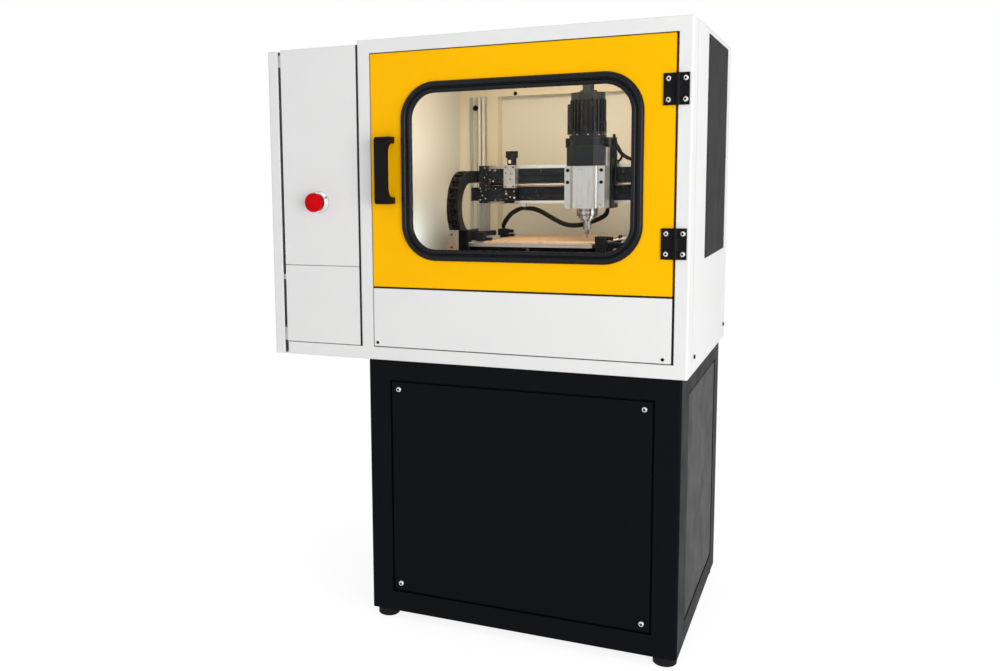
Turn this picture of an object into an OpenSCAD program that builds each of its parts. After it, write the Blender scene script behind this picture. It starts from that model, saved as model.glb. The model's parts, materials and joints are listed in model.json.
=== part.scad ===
// CNC PCB drilling machine: a gantry driller in a windowed enclosure, with a side control box,
// on a black pedestal. X runs to the right, Y to the back, Z up. Millimetres.
// The origin is on the floor, under the middle of the whole machine.
// Sub-parts are drawn in the enclosure's frame: its front left bottom corner is 0, 0, 0 there.

/* [Enclosure] */
// Width of the main enclosure
box_w = 700; // [660:5:800]
// Depth of the main enclosure
box_d = 585; // [570:5:700]
// Height of the main enclosure
box_h = 690; // [680:5:800]
// Thickness of the sheet metal
sheet = 2; // [1.5:0.25:2.5]
// Width of the posts of the front frame
post_w = 29; // [26:1:32]
// Depth of the front frame
frame_d = 55; // [48:1:60]
// Height of the frame's top and bottom rails
rail_h = 28; // [24:1:32]
// Radius of the outer vertical edges
edge_r = 4; // [2.5:0.5:6]
// Height of the machine deck above the enclosure's bottom
deck_z = 160; // [150:1:165]
// Gap around the door and the screwed panels
seam = 2; // [1:0.5:3]
// Gap at the door's hinge side
hinge_seam = 5; // [3:0.5:6]

/* [Door] */
// Depth of the door's folded edge
door_t = 18; // [16:1:20]
// Distance from the door's left edge to the window gasket
window_left = 71; // [60:1:80]
// Distance from the door's bottom edge to the window gasket
window_low = 59; // [50:1:65]
// Width of the door right of the window frame
window_right = 57.5; // [50:0.5:65]
// Height of the window over its gasket
window_h = 375; // [350:1:385]
// Corner radius of the gasket's outside
window_r = 78; // [60:1:90]
// Width of the gasket's face
gasket_w = 24; // [22:1:26]
// Thickness of the window pane
pane_t = 4; // [3:0.5:5]
// Height of the door handle
handle_h = 142; // [120:1:150]
// Width of the door handle
handle_w = 28; // [24:1:30]
// Reach of the door handle
handle_reach = 45; // [40:1:48]
// Thickness of the handle's bar
handle_bar = 12; // [9:1:14]
// Height of the handle's foot above the door's bottom edge
handle_low = 180; // [150:1:190]

/* [Hinges] */
// Height of a hinge leaf
leaf_h = 60; // [54:1:66]
// Width of a door leaf from the pin's axis
door_leaf_w = 27; // [25:1:29]
// Width of a frame leaf from the pin's axis
frame_leaf_w = 21; // [20:1:22]
// Thickness of a hinge leaf
leaf_t = 3; // [2.5:0.25:3.5]
// Outside diameter of the hinge knuckle
knuckle_d = 9.5; // [9:0.1:9.7]
// Diameter of the hinge pin
pin_d = 5; // [4:0.5:6]
// Distance of the pin's axis in front of the door's face
pin_y = 5; // [4.9:0.05:5.5]
// Height of the lower hinge above the door's bottom edge
hinge_low = 72; // [60:1:90]
// Height of the upper hinge above the door's bottom edge
hinge_high = 364; // [340:1:400]

/* [Control box] */
// Width of the control box
control_w = 190; // [170:5:210]
// How far the control box stays below the enclosure's top
control_drop = 8; // [6:1:50]
// Height of the seam between its two front panels
control_split = 204.5; // [180:0.5:230]
// Thickness of the cover at its left side
cover_t = 26; // [20:1:30]
// Gap between the control box and its left cover
cover_gap = 7; // [4:1:8]
// Distance of the emergency stop from the enclosure's left edge
estop_x = 98.5; // [70:0.5:110]
// Height of the emergency stop
estop_z = 346; // [300:1:400]
// Diameter of the emergency stop's cap
estop_d = 42; // [36:1:44]
// Reach of the emergency stop in front of the panel
estop_reach = 34; // [33:0.5:38]
// Travel of the emergency stop
estop_travel = 4; // [3:0.5:4.5]

/* [Pedestal] */
// Distance of the pedestal from the enclosure's left side
ped_inset = 13.5; // [5:0.5:20]
// Distance of the pedestal from the enclosure's right side
ped_right_inset = 10; // [5:0.5:20]
// Distance of the pedestal's front behind the enclosure's front
ped_front = 6; // [4:1:12]
// Height of the pedestal
ped_h = 576; // [500:1:650]
// Width of a pedestal post, seen from the front
ped_post_x = 51; // [40:1:60]
// Depth of a pedestal post behind its outer wall
ped_post_y = 44; // [38:1:55]
// Width of the front post, seen from the side
ped_side_front = 94; // [60:1:100]
// Width of the rear post, seen from the side
ped_side_rear = 70; // [60:1:100]
// Height of the pedestal's rails
ped_rail = 45; // [38:1:55]
// Depth at which the pedestal's panels sit
ped_recess = 1; // [0.5:0.5:4]
// Diameter of a foot
foot_d = 48; // [40:1:60]
// Height of a foot
foot_h = 20; // [8:1:24]

/* [Machine bed] */
// Distance of the machine base from the enclosure's left side
base_x = 118; // [110:1:125]
// Width of the machine base
base_w = 442; // [436:1:480]
// Distance of the machine base behind the enclosure's front
base_y = 140; // [135:1:150]
// Space behind the machine base
base_gap = 45; // [44:1:60]
// Height of the base's top above the deck
base_h = 68; // [60:1:72]
// Thickness of the base's slab
slab_t = 28; // [20:1:34]
// Width of the bed plate
bed_w = 288; // [270:1:292]
// Space between the bed's rear edge and the base's
bed_end = 25; // [20:1:40]
// Thickness of the bed plate
bed_t = 8; // [6:0.5:10]
// Height of the gap under the bed plate
bed_gap = 12; // [12:0.5:14]
// Width of the copper-clad board
pcb_w = 246; // [200:1:248]
// Space between the board's rear edge and the bed's
pcb_end = 15; // [12:1:60]
// Thickness of the copper-clad board
pcb_t = 1.6; // [0.8:0.2:3]
// Width of a Y rail
y_rail_w = 12; // [10:0.5:14]
// Height of a Y rail
y_rail_h = 10; // [8:0.5:11]
// Diameter of the Y lead screw
y_screw_d = 8; // [6:0.5:9]

/* [Gantry] */
// Distance of the beam's front face behind the machine base's front
beam_y = 205; // [195:1:215]
// Depth of the beam
beam_d = 40; // [36:1:44]
// Height of the beam's underside above the machine base
beam_low = 104; // [98:1:110]
// Height of the lower black profile
low_profile_h = 32; // [28:1:36]
// Height of the upper black profile
high_profile_h = 34; // [30:1:38]
// Height of the slot between the profiles
slot_h = 10; // [10:0.5:12]
// Thickness of the beam's top strip
top_strip = 7; // [5:0.5:8]
// Thickness of the beam's bottom strip
low_strip = 6; // [5:0.5:8]
// Width of the left end block
left_block_w = 20; // [18:1:26]
// Width of the right end block
right_block_w = 24; // [18:1:26]
// Diameter of the X lead screw
x_screw_d = 9; // [7:0.5:9]
// Rest place of the spindle's axis, from the enclosure's left side
spindle_x = 434; // [400:1:440]

/* [Spindle] */
// Distance of the spindle's axis in front of the beam
spindle_out = 65; // [64:0.5:70]
// Width of the spindle block's flange
flange_w = 90; // [86:1:96]
// Width of the spindle block's body
block_w = 62; // [58:1:66]
// Height of the spindle block
block_h = 94; // [86:1:100]
// Height of the motor mount
mount_h = 62; // [54:1:70]
// Diameter over the motor's fins
motor_d = 79; // [70:1:82]
// Length of the motor's body
motor_h = 79; // [70:1:90]
// Number of cooling fins on the motor
fin_count = 26; // [16:2:36]
// Diameter of the drill's shank
drill_d = 3.175; // [2:0.025:4]
// Gap between the drill's tip and the board
tip_gap = 5.4; // [5:0.2:8]

/* [Drag chain] */
// Width of the drag chain
chain_w = 27.5; // [24:0.5:28]
// Height of a chain link
link_h = 28; // [24:1:30]
// Bend radius of the chain at mid height
chain_r = 71; // [66:1:74]
// Number of links
link_count = 19; // [15:1:23]

/* [Fits] */
// Radial clearance of a shaft in its bore
running = 0.05; // [0.02:0.01:0.1]
// Clearance between sliding pieces
sliding = 0.3; // [0.2:0.05:0.4]

/* [Hidden] */
$fn = 48;

// Side cover plate on the right, and the small dark screws
plate_t = 1.5;
plate_y = [205, box_d - 65];
plate_top = 11;
plate_h = 458;
plate_inset = 12;
small_screw = [7, 1.5, 3];
side_screw = [10, 3, 4];
side_screw_drop = 16;
panel_screw_inset = 8;

// Placing of the enclosure's frame over the floor
left_reach = control_w + cover_gap + cover_t;
right_reach = box_w + max(plate_t + small_screw[1], side_screw[1]);
box_x = (left_reach - right_reach) / 2;
box_y = (max(estop_reach, handle_reach) - box_d) / 2;
box_z = foot_h + ped_h;

// Front openings and the door
open_x = [post_w, box_w - post_w + 2.5];
door_x = [open_x[0] + seam, open_x[1] - hinge_seam];
door_z = [deck_z + seam, box_h - rail_h - seam];
sill_d = 20;
sill_z = [deck_z - 12, deck_z + 10];
stop_w = 10;
lower_panel_z = [rail_h + seam, deck_z - seam];
panel_t = 16;
roof_z = box_h - sheet;
back_y = box_d - sheet;
return_w = 30;

// Window, measured from the gasket's inner edge outwards
window_w = door_x[1] - door_x[0] - window_left - window_right;
window_x = door_x[0] + window_left + window_w / 2;
window_z = door_z[0] + window_low + window_h / 2;
glass_lap = 10;
hole_lap = gasket_w - 10;
inner_w = window_w - 2 * gasket_w;
inner_h = window_h - 2 * gasket_w;
inner_r = window_r - gasket_w;
lip_t = 2.5;
back_lip = 4;

// Handle and hinges
handle_x = door_x[0] + 27;
handle_z = door_z[0] + handle_low;
handle_foot = 14;
hinge_x = open_x[1] - 0.5;
hinge_z = [door_z[0] + hinge_low, door_z[0] + hinge_high];
knuckle_h = leaf_h / 4;
knuckle_gap = 0.4;
hinge_screw = [11.3, 2.9, 4.5];
hinge_screw_place = 0.643;
hinge_screw_z = leaf_h / 2 - 10.5;

// Control box
control_h = box_h - control_drop;
control_x = [-control_w, -4];
cover_y = [0.5, box_d - 5];
cover_tabs = [[rail_h + 2, rail_h + 32], [control_split - 34, control_split - 22],
  [control_h - 37, control_h - 10]];
stop_axis = [-estop_x, 0, estop_z];
stem_d = 16;
spigot_d = 10;
collar_d = 49;
collar_reach = 15;
cap_t = 14;
spigot_l = 9;
neck_d = 30;
neck_end = 24;

// Pedestal
ped_x = [ped_inset, box_w - ped_right_inset];
ped_y = [ped_front, box_d - 10];
ped_in_x = [ped_x[0] + ped_post_x, ped_x[1] - ped_post_x];
ped_in_y = [ped_y[0] + ped_post_y, ped_y[1] - ped_post_y];
ped_side_y = [ped_y[0] + ped_side_front, ped_y[1] - ped_side_rear];
ped_in_z = [ped_rail - ped_h, -ped_rail];
ped_edge_r = 5;
ped_panel_t = 7;
ped_panel_gap = 4.5;
ledge_w = 28;
ledge_t = 3;
foot_inset = 28;
flange_screw = [13.5, 4.5, 5.5];
flange_screw_inset = 16;

// Machine bed
base_z = [deck_z, deck_z + base_h];
base_top = base_z[1];
base_right = base_x + base_w;
base_back = box_d - base_gap;
pad = 60;
bed_z = base_top + bed_gap;
bed_top = bed_z + bed_t;
left_rail_x = base_x + 50;
right_rail_x = base_right - 25;
bearing_w = 28;
bearing_l = 56;
bearing_h = 37;
bearing_foot = 2;
bed_x = left_rail_x + bearing_w / 2 + 1;
bed_y = base_y + 32;
bed_d = base_back - bed_end - bed_y;
bed_right = bed_x + bed_w;
pcb_x = bed_x + 32;
pcb_y = bed_y + 24;
pcb_d = bed_y + bed_d - pcb_end - pcb_y;
pcb_top = bed_top + pcb_t;
rib_y = [bed_y + 8, bed_y + bed_d - 25];
rib_d = 20;
y_screw_x = bed_x + bed_w / 2;
y_screw_z = base_top + bed_gap / 2;
rail_y = [base_y + 10, base_back - 25];
bracket_x = left_rail_x - 2;
bracket_w = 22;
bracket_h = 50;

// Clamps: the block's low corner, and the knob that turns in it
clamp_w = 22;
clamp_d = 20;
clamp_h = 20;
clamp_nose = 6.4;
clamp_reach = 10;
left_clamp_y = [bed_y + 54, bed_y + bed_d - 123];
right_clamp_y = bed_y + 10;
right_clamp_x = [bed_right + 4, bed_right + 26.5];
right_clamp_h = 16.5;
knob_d = 9;
knob_l = 14;
knob_stem = 5;
knob_stem_l = 14;
knob_z = [bed_top + 14, bed_top + 12];

// Gantry
beam_front = base_y + beam_y;
beam_back = beam_front + beam_d;
beam_z = base_top + beam_low;
low_z = [beam_z + low_strip, beam_z + low_strip + low_profile_h];
high_z = [low_z[1] + slot_h, low_z[1] + slot_h + high_profile_h];
beam_top = high_z[1] + top_strip;
left_block_x = [left_rail_x - 9, left_rail_x - 9 + left_block_w];
right_block_x = [right_rail_x - right_block_w / 2, right_rail_x + right_block_w / 2];
end_block_y = [beam_front - 17, beam_back + 5];
stub_x = [left_block_x[0] - 26.5, right_block_x[1] + 19];
leg_w = 17;
leg_x = [left_rail_x - 15, right_rail_x - leg_w / 2];
leg_d = 40;
bearing_y = [beam_front - 15, beam_front - 15 + bearing_l];
bearing_top = base_top + bearing_h;
tie_d = 26;
x_screw_y = beam_front - 7;
x_screw_z = low_z[1] + slot_h / 2 - 0.5;
web_d = 8;
drive_box_w = 45;
drive_box_d = 21;
drive_wall = 6;
bearing_block_w = 28;
bearing_block_d = 27;
bearing_block_low = 5.8;
lock_knob = [29, 16];
lock_neck = [22, 17];
lock_pin = [8, 20];
clip_x = left_block_x[1] + 83;
cable_y = beam_front + 15;
cable_z = beam_z - 13;

// Carriage and head, about the spindle's axis
axis = [spindle_x, beam_front - spindle_out];
carriage_w = 92;
carriage_y = [beam_front - 27, beam_front - sliding];
carriage_z = [beam_z - 11, beam_top + 45];
z_motor_lift = 12;
shoe_t = 10;
z_rail_x = [-28, 28];
z_rail_w = 8;
z_rail_d = 10;
plate_w = flange_w - 7.4;
z_plate_t = 20 - sliding;
z_plate_y = [carriage_y[0] - sliding - z_plate_t, carriage_y[0] - sliding];
nose_h = 28;
collet_h = 31;
drill_out = 9;
head_low = pcb_top + tip_gap + drill_out + collet_h + nose_h;
head_top = head_low + block_h;
mount_top = head_top + mount_h;
flange_y = [axis[1] - 30, z_plate_y[0]];
block_front = axis[1] - 40;
flange_hole_x = flange_w / 2 - 7.3;
flange_drops = [9.5, 36, block_h - 8];
ear_h = 21;
nose_d = 47;
spigot_h = 20;
shaft_d = 12;
collet_d = 17.5;
z_motor = 42;

// Drag chain
chain_x = [left_block_x[0] - 6.5 - chain_w, left_block_x[0] - 6.5];
chain_top = beam_front - 10;
chain_bend_y = beam_front - 60;
chain_end = beam_front + 60;
chain_low = base_top + 12 + link_h / 2;
chain_mid = chain_low + chain_r;
top_run = chain_top - chain_bend_y;
bend_run = PI * chain_r;
low_run = chain_end - chain_bend_y;
pitch = (top_run + bend_run + low_run) / link_count;

// Cable routes, in the enclosure's frame
cable_r = 4.8;
cable_gap = 0.6;
cable_sides = 10;
head_route = [
  [axis[0] + 30, beam_front + 5, carriage_z[0] - cable_gap], [axis[0] + 30, beam_front + 5, beam_z - 16],
  [axis[0] + 28, beam_front + 6, beam_z - 23], [axis[0] + 20, beam_front + 9.5, beam_z - 31],
  [axis[0] - 4, beam_front + 13, beam_z - 42], [axis[0] - 40, cable_y, beam_z - 52],
  [axis[0] - 72, cable_y, beam_z - 50], [clip_x + 68, cable_y, beam_z - 35],
  [clip_x + 43, cable_y, beam_z - 21], [clip_x + 23, cable_y, beam_z - 14],
  [clip_x + 10, cable_y, cable_z], [clip_x + 4, cable_y, cable_z], [clip_x + 1, cable_y, cable_z]
];
probe = [bed_x + 2 + clamp_w / 2, left_clamp_y[1] + clamp_d / 2, bed_top + clamp_h + cable_gap];
probe_route = [
  [clip_x - 1, cable_y, cable_z], [clip_x - 7, cable_y, cable_z],
  [clip_x - 15, cable_y + 1.5, cable_z - 1.5], [clip_x - 31, cable_y + 11, cable_z - 14],
  probe + [16, -17, 21], probe + [7, -8, 14], probe + [1.5, -2, 9.5], probe + [0, 0, 6],
  probe + [0, 0, 3], probe
];
side_start = [axis[0] + carriage_w / 2 + cable_gap, beam_front - 15, carriage_z[1] - 4];
side_end = [right_rail_x, beam_front + 13, beam_top + 1 + cable_gap];
side_route = [
  side_start, side_start + [4.5, 0, 0], side_start + [10.5, 2, -2], side_start + [20.5, 11, -13],
  side_end + [-21, -7, 16.5], side_end + [-9, -2, 12.5], side_end + [-2, 0, 9],
  side_end + [0, 0, 6], side_end + [0, 0, 3], side_end
];

// Plain shapes: each range is a low and a high place
module block(x, y, z) {
  translate([x[0], y[0], z[0]])
    cube([x[1] - x[0], y[1] - y[0], z[1] - z[0]]);
}

// Rods along each axis, from a low to a high place
module rod_x(d, x, y, z) {
  translate([x[0], y, z])
    rotate([0, 90, 0])
      cylinder(d = d, h = x[1] - x[0]);
}

module rod_y(d, x, y, z) {
  translate([x, y[0], z])
    rotate([-90, 0, 0])
      cylinder(d = d, h = y[1] - y[0]);
}

module rod_z(d, x, y, z) {
  translate([x, y, z[0]])
    cylinder(d = d, h = z[1] - z[0]);
}

// Rectangle with round corners, about its centre
module round_rect(w, h, r) {
  square([w - 2 * r, h], center = true);
  square([w, h - 2 * r], center = true);
  for (i = [-1, 1])
    for (j = [-1, 1])
      translate([i * (w / 2 - r), j * (h / 2 - r)])
        circle(r);
}

// Square with cut corners, about its centre
module cut_square(w, cut) {
  h = w / 2;
  polygon([[cut - h, -h], [h - cut, -h], [h, cut - h], [h, h - cut], [h - cut, h], [cut - h, h],
    [-h, h - cut], [-h, cut - h]]);
}

// Upright plate with round corners, facing the front
module face_plate(x, y, z, r) {
  translate([(x[0] + x[1]) / 2, y[1], (z[0] + z[1]) / 2])
    rotate([90, 0, 0])
      linear_extrude(y[1] - y[0])
        round_rect(x[1] - x[0], z[1] - z[0], r);
}

// Upright box with round vertical edges
module round_box(x, y, z, r) {
  translate([(x[0] + x[1]) / 2, (y[0] + y[1]) / 2, z[0]])
    linear_extrude(z[1] - z[0])
      round_rect(x[1] - x[0], y[1] - y[0], r);
}

// Folded front panel: a plate whose edges turn back
module folded_panel(x, z, depth) {
  difference() {
    face_plate(x, [0, depth], z, 1.5);
    block([x[0] + sheet, x[1] - sheet], [sheet, depth + 1], [z[0] + sheet, z[1] - sheet]);
  }
}

// Button head screw: size is head diameter, head height and key size; the head points along +Z
module button_head(size) {
  crown = size[1] * 1.3;
  ball = (size[0] * size[0] / 4 + crown * crown) / (2 * crown);
  difference() {
    intersection() {
      cylinder(d = size[0], h = size[1]);
      translate([0, 0, crown - ball])
        sphere(ball);
    }
    translate([0, 0, size[1] * 0.35])
      cylinder(d = size[2] / cos(30), h = size[1], $fn = 6);
  }
}

module screw_front(size, x, y, z) {
  translate([x, y, z])
    rotate([90, 0, 0])
      button_head(size);
}

module screw_right(size, x, y, z) {
  translate([x, y, z])
    rotate([0, 90, 0])
      button_head(size);
}

// Profile swept round a rectangle with round corners; its x points outwards from the inner edge
module ring_sweep(w, h, r) {
  for (i = [0, 180])
    rotate(i) {
      translate([w / 2, 0, 0])
        rotate([90, 0, 0])
          linear_extrude(h - 2 * r, center = true)
            children();
      translate([0, h / 2, 0])
        rotate([90, 0, 90])
          linear_extrude(w - 2 * r, center = true)
            children();
      translate([w / 2 - r, h / 2 - r, 0])
        rotate_extrude(angle = 90)
          translate([r, 0])
            children();
      translate([r - w / 2, h / 2 - r, 0])
        rotate(90)
          rotate_extrude(angle = 90)
            translate([r, 0])
              children();
    }
}

module at_box() {
  translate([box_x, box_y, box_z])
    children();
}

// Pedestal

module feet() {
  color("#161616") at_box()
    for (x = [ped_x[0] + foot_inset, ped_x[1] - foot_inset])
      for (y = [ped_y[0] + foot_inset, ped_y[1] - foot_inset])
        translate([x, y, -box_z]) {
          cylinder(d1 = foot_d - 4, d2 = foot_d, h = 2);
          translate([0, 0, 2])
            cylinder(d = foot_d, h = foot_h - 2);
        }
}

module panel_ledge_y(y) {
  difference() {
    block([ped_in_x[0] - 1, ped_in_x[1] + 1], y, [ped_in_z[0] - 1, ped_in_z[1] + 1]);
    block([ped_in_x[0] + ledge_w, ped_in_x[1] - ledge_w], [y[0] - 1, y[1] + 1],
      [ped_in_z[0] + ledge_w, ped_in_z[1] - ledge_w]);
  }
}

module panel_ledge_x(x) {
  difference() {
    block(x, [ped_side_y[0] - 1, ped_side_y[1] + 1], [ped_in_z[0] - 1, ped_in_z[1] + 1]);
    block([x[0] - 1, x[1] + 1], [ped_side_y[0] + ledge_w, ped_side_y[1] - ledge_w],
      [ped_in_z[0] + ledge_w, ped_in_z[1] - ledge_w]);
  }
}

module pedestal_frame() {
  seat = ped_recess + ped_panel_t;
  color("#1b1b1e") at_box() {
    difference() {
      round_box(ped_x, ped_y, [-ped_h, 0], ped_edge_r);
      block(ped_in_x, [ped_y[0] - 1, ped_y[1] + 1], ped_in_z);
      block([ped_x[0] - 1, ped_x[1] + 1], ped_side_y, ped_in_z);
      block(ped_in_x, ped_in_y, [-ped_h - 1, 1]);
    }
    panel_ledge_y([ped_y[0] + seat, ped_y[0] + seat + ledge_t]);
    panel_ledge_y([ped_y[1] - seat - ledge_t, ped_y[1] - seat]);
    panel_ledge_x([ped_x[0] + seat, ped_x[0] + seat + ledge_t]);
    panel_ledge_x([ped_x[1] - seat - ledge_t, ped_x[1] - seat]);
  }
}

module pedestal_panels() {
  gap = ped_panel_gap;
  z = [ped_in_z[0] + gap, ped_in_z[1] - gap];
  x = [ped_in_x[0] + gap, ped_in_x[1] - gap];
  y = [ped_side_y[0] + gap, ped_side_y[1] - gap];
  color("#121214") at_box() {
    for (front = [ped_y[0] + ped_recess, ped_y[1] - ped_recess - ped_panel_t])
      block(x, [front, front + ped_panel_t], z);
    for (side = [ped_x[0] + ped_recess, ped_x[1] - ped_recess - ped_panel_t])
      block([side, side + ped_panel_t], y, z);
  }
}

module stainless_screws() {
  inset = ped_panel_gap + flange_screw_inset;
  color("#c8c8c8") at_box() {
    for (x = [ped_in_x[0] + inset, ped_in_x[1] - inset])
      for (z = [ped_in_z[0] + inset, ped_in_z[1] - inset]) {
        screw_front(flange_screw, x, ped_y[0] + ped_recess, z);
        translate([x, ped_y[1] - ped_recess, z])
          rotate([-90, 0, 0])
            button_head(flange_screw);
      }
    hinge_screws(frame_leaf_w * hinge_screw_place);
  }
}

// Main enclosure

module front_frame() {
  color("#f2f2f0") at_box() {
    difference() {
      union() {
        intersection() {
          round_box([0, box_w], [0, frame_d + 10], [0, box_h], edge_r);
          block([0, box_w], [0, frame_d], [0, box_h]);
        }
        intersection() {
          round_box([-control_w, 20], [0, frame_d + 10], [0, rail_h], edge_r);
          block([-control_w, 20], [0, frame_d], [0, rail_h]);
        }
      }
      block(open_x, [-1, frame_d + 1], [rail_h, box_h - rail_h]);
    }
    block([open_x[0] - 1, open_x[1] + 1], [sill_d, frame_d], sill_z);
    door_stop();
  }
}

// Inner lip that the door and the lower panel close against
module door_stop() {
  difference() {
    block([open_x[0] - 1, open_x[1] + 1], [sill_d, sill_d + sheet], [rail_h - 1, box_h - rail_h + 1]);
    block([open_x[0] + stop_w, open_x[1] - stop_w], [sill_d - 1, sill_d + sheet + 1],
      [sill_z[1], box_h - rail_h - stop_w]);
    block([open_x[0] + stop_w, open_x[1] - stop_w], [sill_d - 1, sill_d + sheet + 1],
      [rail_h + stop_w, sill_z[0]]);
  }
}

module rear_floor_shell() {
  color("#f0f0ee") at_box() {
    block([post_w, box_w - sheet], [frame_d, back_y], [0, sheet]);
    block([post_w, box_w - return_w], [back_y, box_d], [0, roof_z]);
  }
}

module right_side_panel() {
  color("#f2f2f0") at_box()
    intersection() {
      difference() {
        round_box([0, box_w], [0, box_d], [0, roof_z], edge_r);
        block([sheet, box_w - sheet], [sheet, back_y], [-1, roof_z + 1]);
      }
      block([box_w - return_w, box_w], [frame_d, box_d], [0, roof_z]);
    }
}

module left_wall() {
  color("#efece4") at_box()
    block([0, post_w], [frame_d, box_d], [0, roof_z]);
}

module roof_panel() {
  color("#f2f2f0") at_box()
    intersection() {
      round_box([0, box_w], [0, box_d], [roof_z, box_h], edge_r);
      block([0, box_w], [frame_d, box_d], [roof_z, box_h]);
    }
}

module shelf_deck() {
  lip = 14;
  color("#e9e6dd") at_box() {
    block([post_w, box_w - sheet], [frame_d, back_y], [deck_z - sheet, deck_z]);
    block([post_w, box_w - sheet], [back_y - sheet, back_y], [deck_z - lip, deck_z]);
  }
}

// Corner duct and ceiling rail, welded to each other
duct_d = 38;
duct_w = 104;
duct_y = back_y - duct_d;
duct_x = post_w + duct_w;
ceiling_rail_h = 40;
ceiling_z = roof_z - ceiling_rail_h - 48;

module inner_frame() {
  color("#e6dcc4") at_box() {
    block([post_w, duct_x], [duct_y, back_y], [deck_z, ceiling_z]);
    block([post_w, box_w - sheet], [duct_y, back_y], [ceiling_z, ceiling_z + ceiling_rail_h]);
  }
}

module corner_profile() {
  strip_w = 24;
  strip_d = 12;
  narrow_w = 8;
  color("#b9babb") at_box() {
    difference() {
      block([post_w + 51, post_w + 51 + strip_w], [duct_y - strip_d, duct_y], [deck_z, ceiling_z]);
      block([post_w + 59, post_w + 67], [duct_y - strip_d - 1, duct_y - 8], [deck_z - 1, ceiling_z + 1]);
    }
    block([post_w + 29, post_w + 29 + narrow_w], [duct_y - 4, duct_y], [deck_z, ceiling_z]);
  }
}

plate_z = [box_h - plate_top - plate_h, box_h - plate_top];

module side_cover_plate() {
  color("#4c4c4e") at_box()
    block([box_w, box_w + plate_t], plate_y, plate_z);
}

module panel_screws() {
  color("#2b2b2d") at_box() {
    for (y = [plate_y[0] + plate_inset, plate_y[1] - plate_inset])
      for (z = [plate_z[0] + plate_inset, (plate_z[0] + plate_z[1]) / 2 - side_screw_drop,
          plate_z[1] - plate_inset])
        screw_right(small_screw, box_w + plate_t, y, z);
    for (y = [frame_d + rail_h, box_d - rail_h])
      screw_right(side_screw, box_w, y, rail_h + 5);
    for (x = [door_x[0] + panel_screw_inset, door_x[1] - panel_screw_inset - 8])
      screw_front(small_screw, x, 0, lower_panel_z[0] + panel_screw_inset);
  }
}

module lower_front_panel() {
  color("#f4f4f2") at_box()
    folded_panel(door_x, lower_panel_z, sill_d);
}

// Control box

module control_box_shell() {
  color("#f0f0ee") at_box()
    difference() {
      union() {
        block([-control_w, 0], [panel_t, frame_d + 1], [rail_h, control_h]);
        block([-control_w, 0], [frame_d, box_d], [0, control_h]);
      }
      block([sheet - control_w, -sheet], [panel_t - 1, frame_d + sheet + 1],
        [rail_h + sheet, control_h - sheet]);
      block([sheet - control_w, -sheet], [frame_d + sheet, back_y], [sheet, control_h - sheet]);
    }
}

module control_upper_panel() {
  color("#f4f4f2") at_box()
    difference() {
      folded_panel(control_x, [control_split + 0.5, control_h], panel_t);
      rod_y(neck_d, -estop_x, [-1, sheet + 1], estop_z);
    }
}

module control_lower_panel() {
  color("#f4f4f2") at_box()
    folded_panel(control_x, [rail_h + 1.5, control_split - 0.5], panel_t);
}

module control_left_cover() {
  x = [-left_reach, -control_w - cover_gap];
  tab_x = [x[0] + sheet, -control_w];
  color("#f0f0ee") at_box() {
    difference() {
      round_box(x, cover_y, [0, control_h - sheet], edge_r);
      block([x[0] + sheet, x[1] + 1], [cover_y[0] + sheet, cover_y[1] - sheet], [sheet, control_h - 2 * sheet]);
    }
    for (z = cover_tabs) {
      block(tab_x, [cover_y[0] + 5.5, cover_y[0] + 24.5], z);
      block(tab_x, [cover_y[1] - 25, cover_y[1] - 1], z);
    }
  }
}

module estop_collar() {
  color("#cfcfd2") at_box()
    translate(stop_axis)
      rotate([90, 0, 0])
        difference() {
          union() {
            translate([0, 0, -neck_end])
              cylinder(d = neck_d, h = neck_end);
            cylinder(d = collar_d, h = 6);
            translate([0, 0, 6])
              cylinder(d1 = collar_d, d2 = collar_d - 7, h = 5);
            cylinder(d = collar_d - 9, h = collar_reach);
          }
          translate([0, 0, -neck_end - 1])
            cylinder(d = stem_d + 2 * running, h = neck_end + collar_reach + 2);
        }
}

module estop_plunger() {
  stem = [-estop_reach + cap_t, neck_end - estop_travel - 4];
  color("#2b2b2d") at_box() {
    rod_y(stem_d, -estop_x, stem, estop_z);
    rod_y(spigot_d, -estop_x, [stem[0] - spigot_l, stem[0]], estop_z);
  }
}

module estop_cap() {
  rim = 6;
  dome = 60;
  color("#c8151b") at_box()
    translate([-estop_x, -estop_reach + cap_t, estop_z])
      rotate([90, 0, 0])
        difference() {
          intersection() {
            union() {
              translate([0, 0, sliding])
                cylinder(d1 = estop_d - 6, d2 = estop_d, h = rim);
              translate([0, 0, rim])
                cylinder(d = estop_d, h = cap_t - rim);
            }
            translate([0, 0, cap_t - dome])
              sphere(dome, $fn = 96);
          }
          translate([0, 0, -1])
            cylinder(d = spigot_d + 2 * running, h = spigot_l + 1 + sliding);
        }
}

module estop_contact_block() {
  size = [40, 38, 50];
  color("#232325") at_box()
    block([-estop_x - size[0] / 2, -estop_x + size[0] / 2], [neck_end, neck_end + size[1]],
      [estop_z - size[2] / 2, estop_z + size[2] / 2]);
}

// Door

module door_panel() {
  hole_w = inner_w + 2 * hole_lap;
  hole_h = inner_h + 2 * hole_lap;
  color("#f9b800") at_box()
    difference() {
      folded_panel(door_x, door_z, door_t);
      face_plate([window_x - hole_w / 2, window_x + hole_w / 2], [-1, sheet + 1],
        [window_z - hole_h / 2, window_z + hole_h / 2], inner_r + hole_lap);
    }
}

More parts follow.
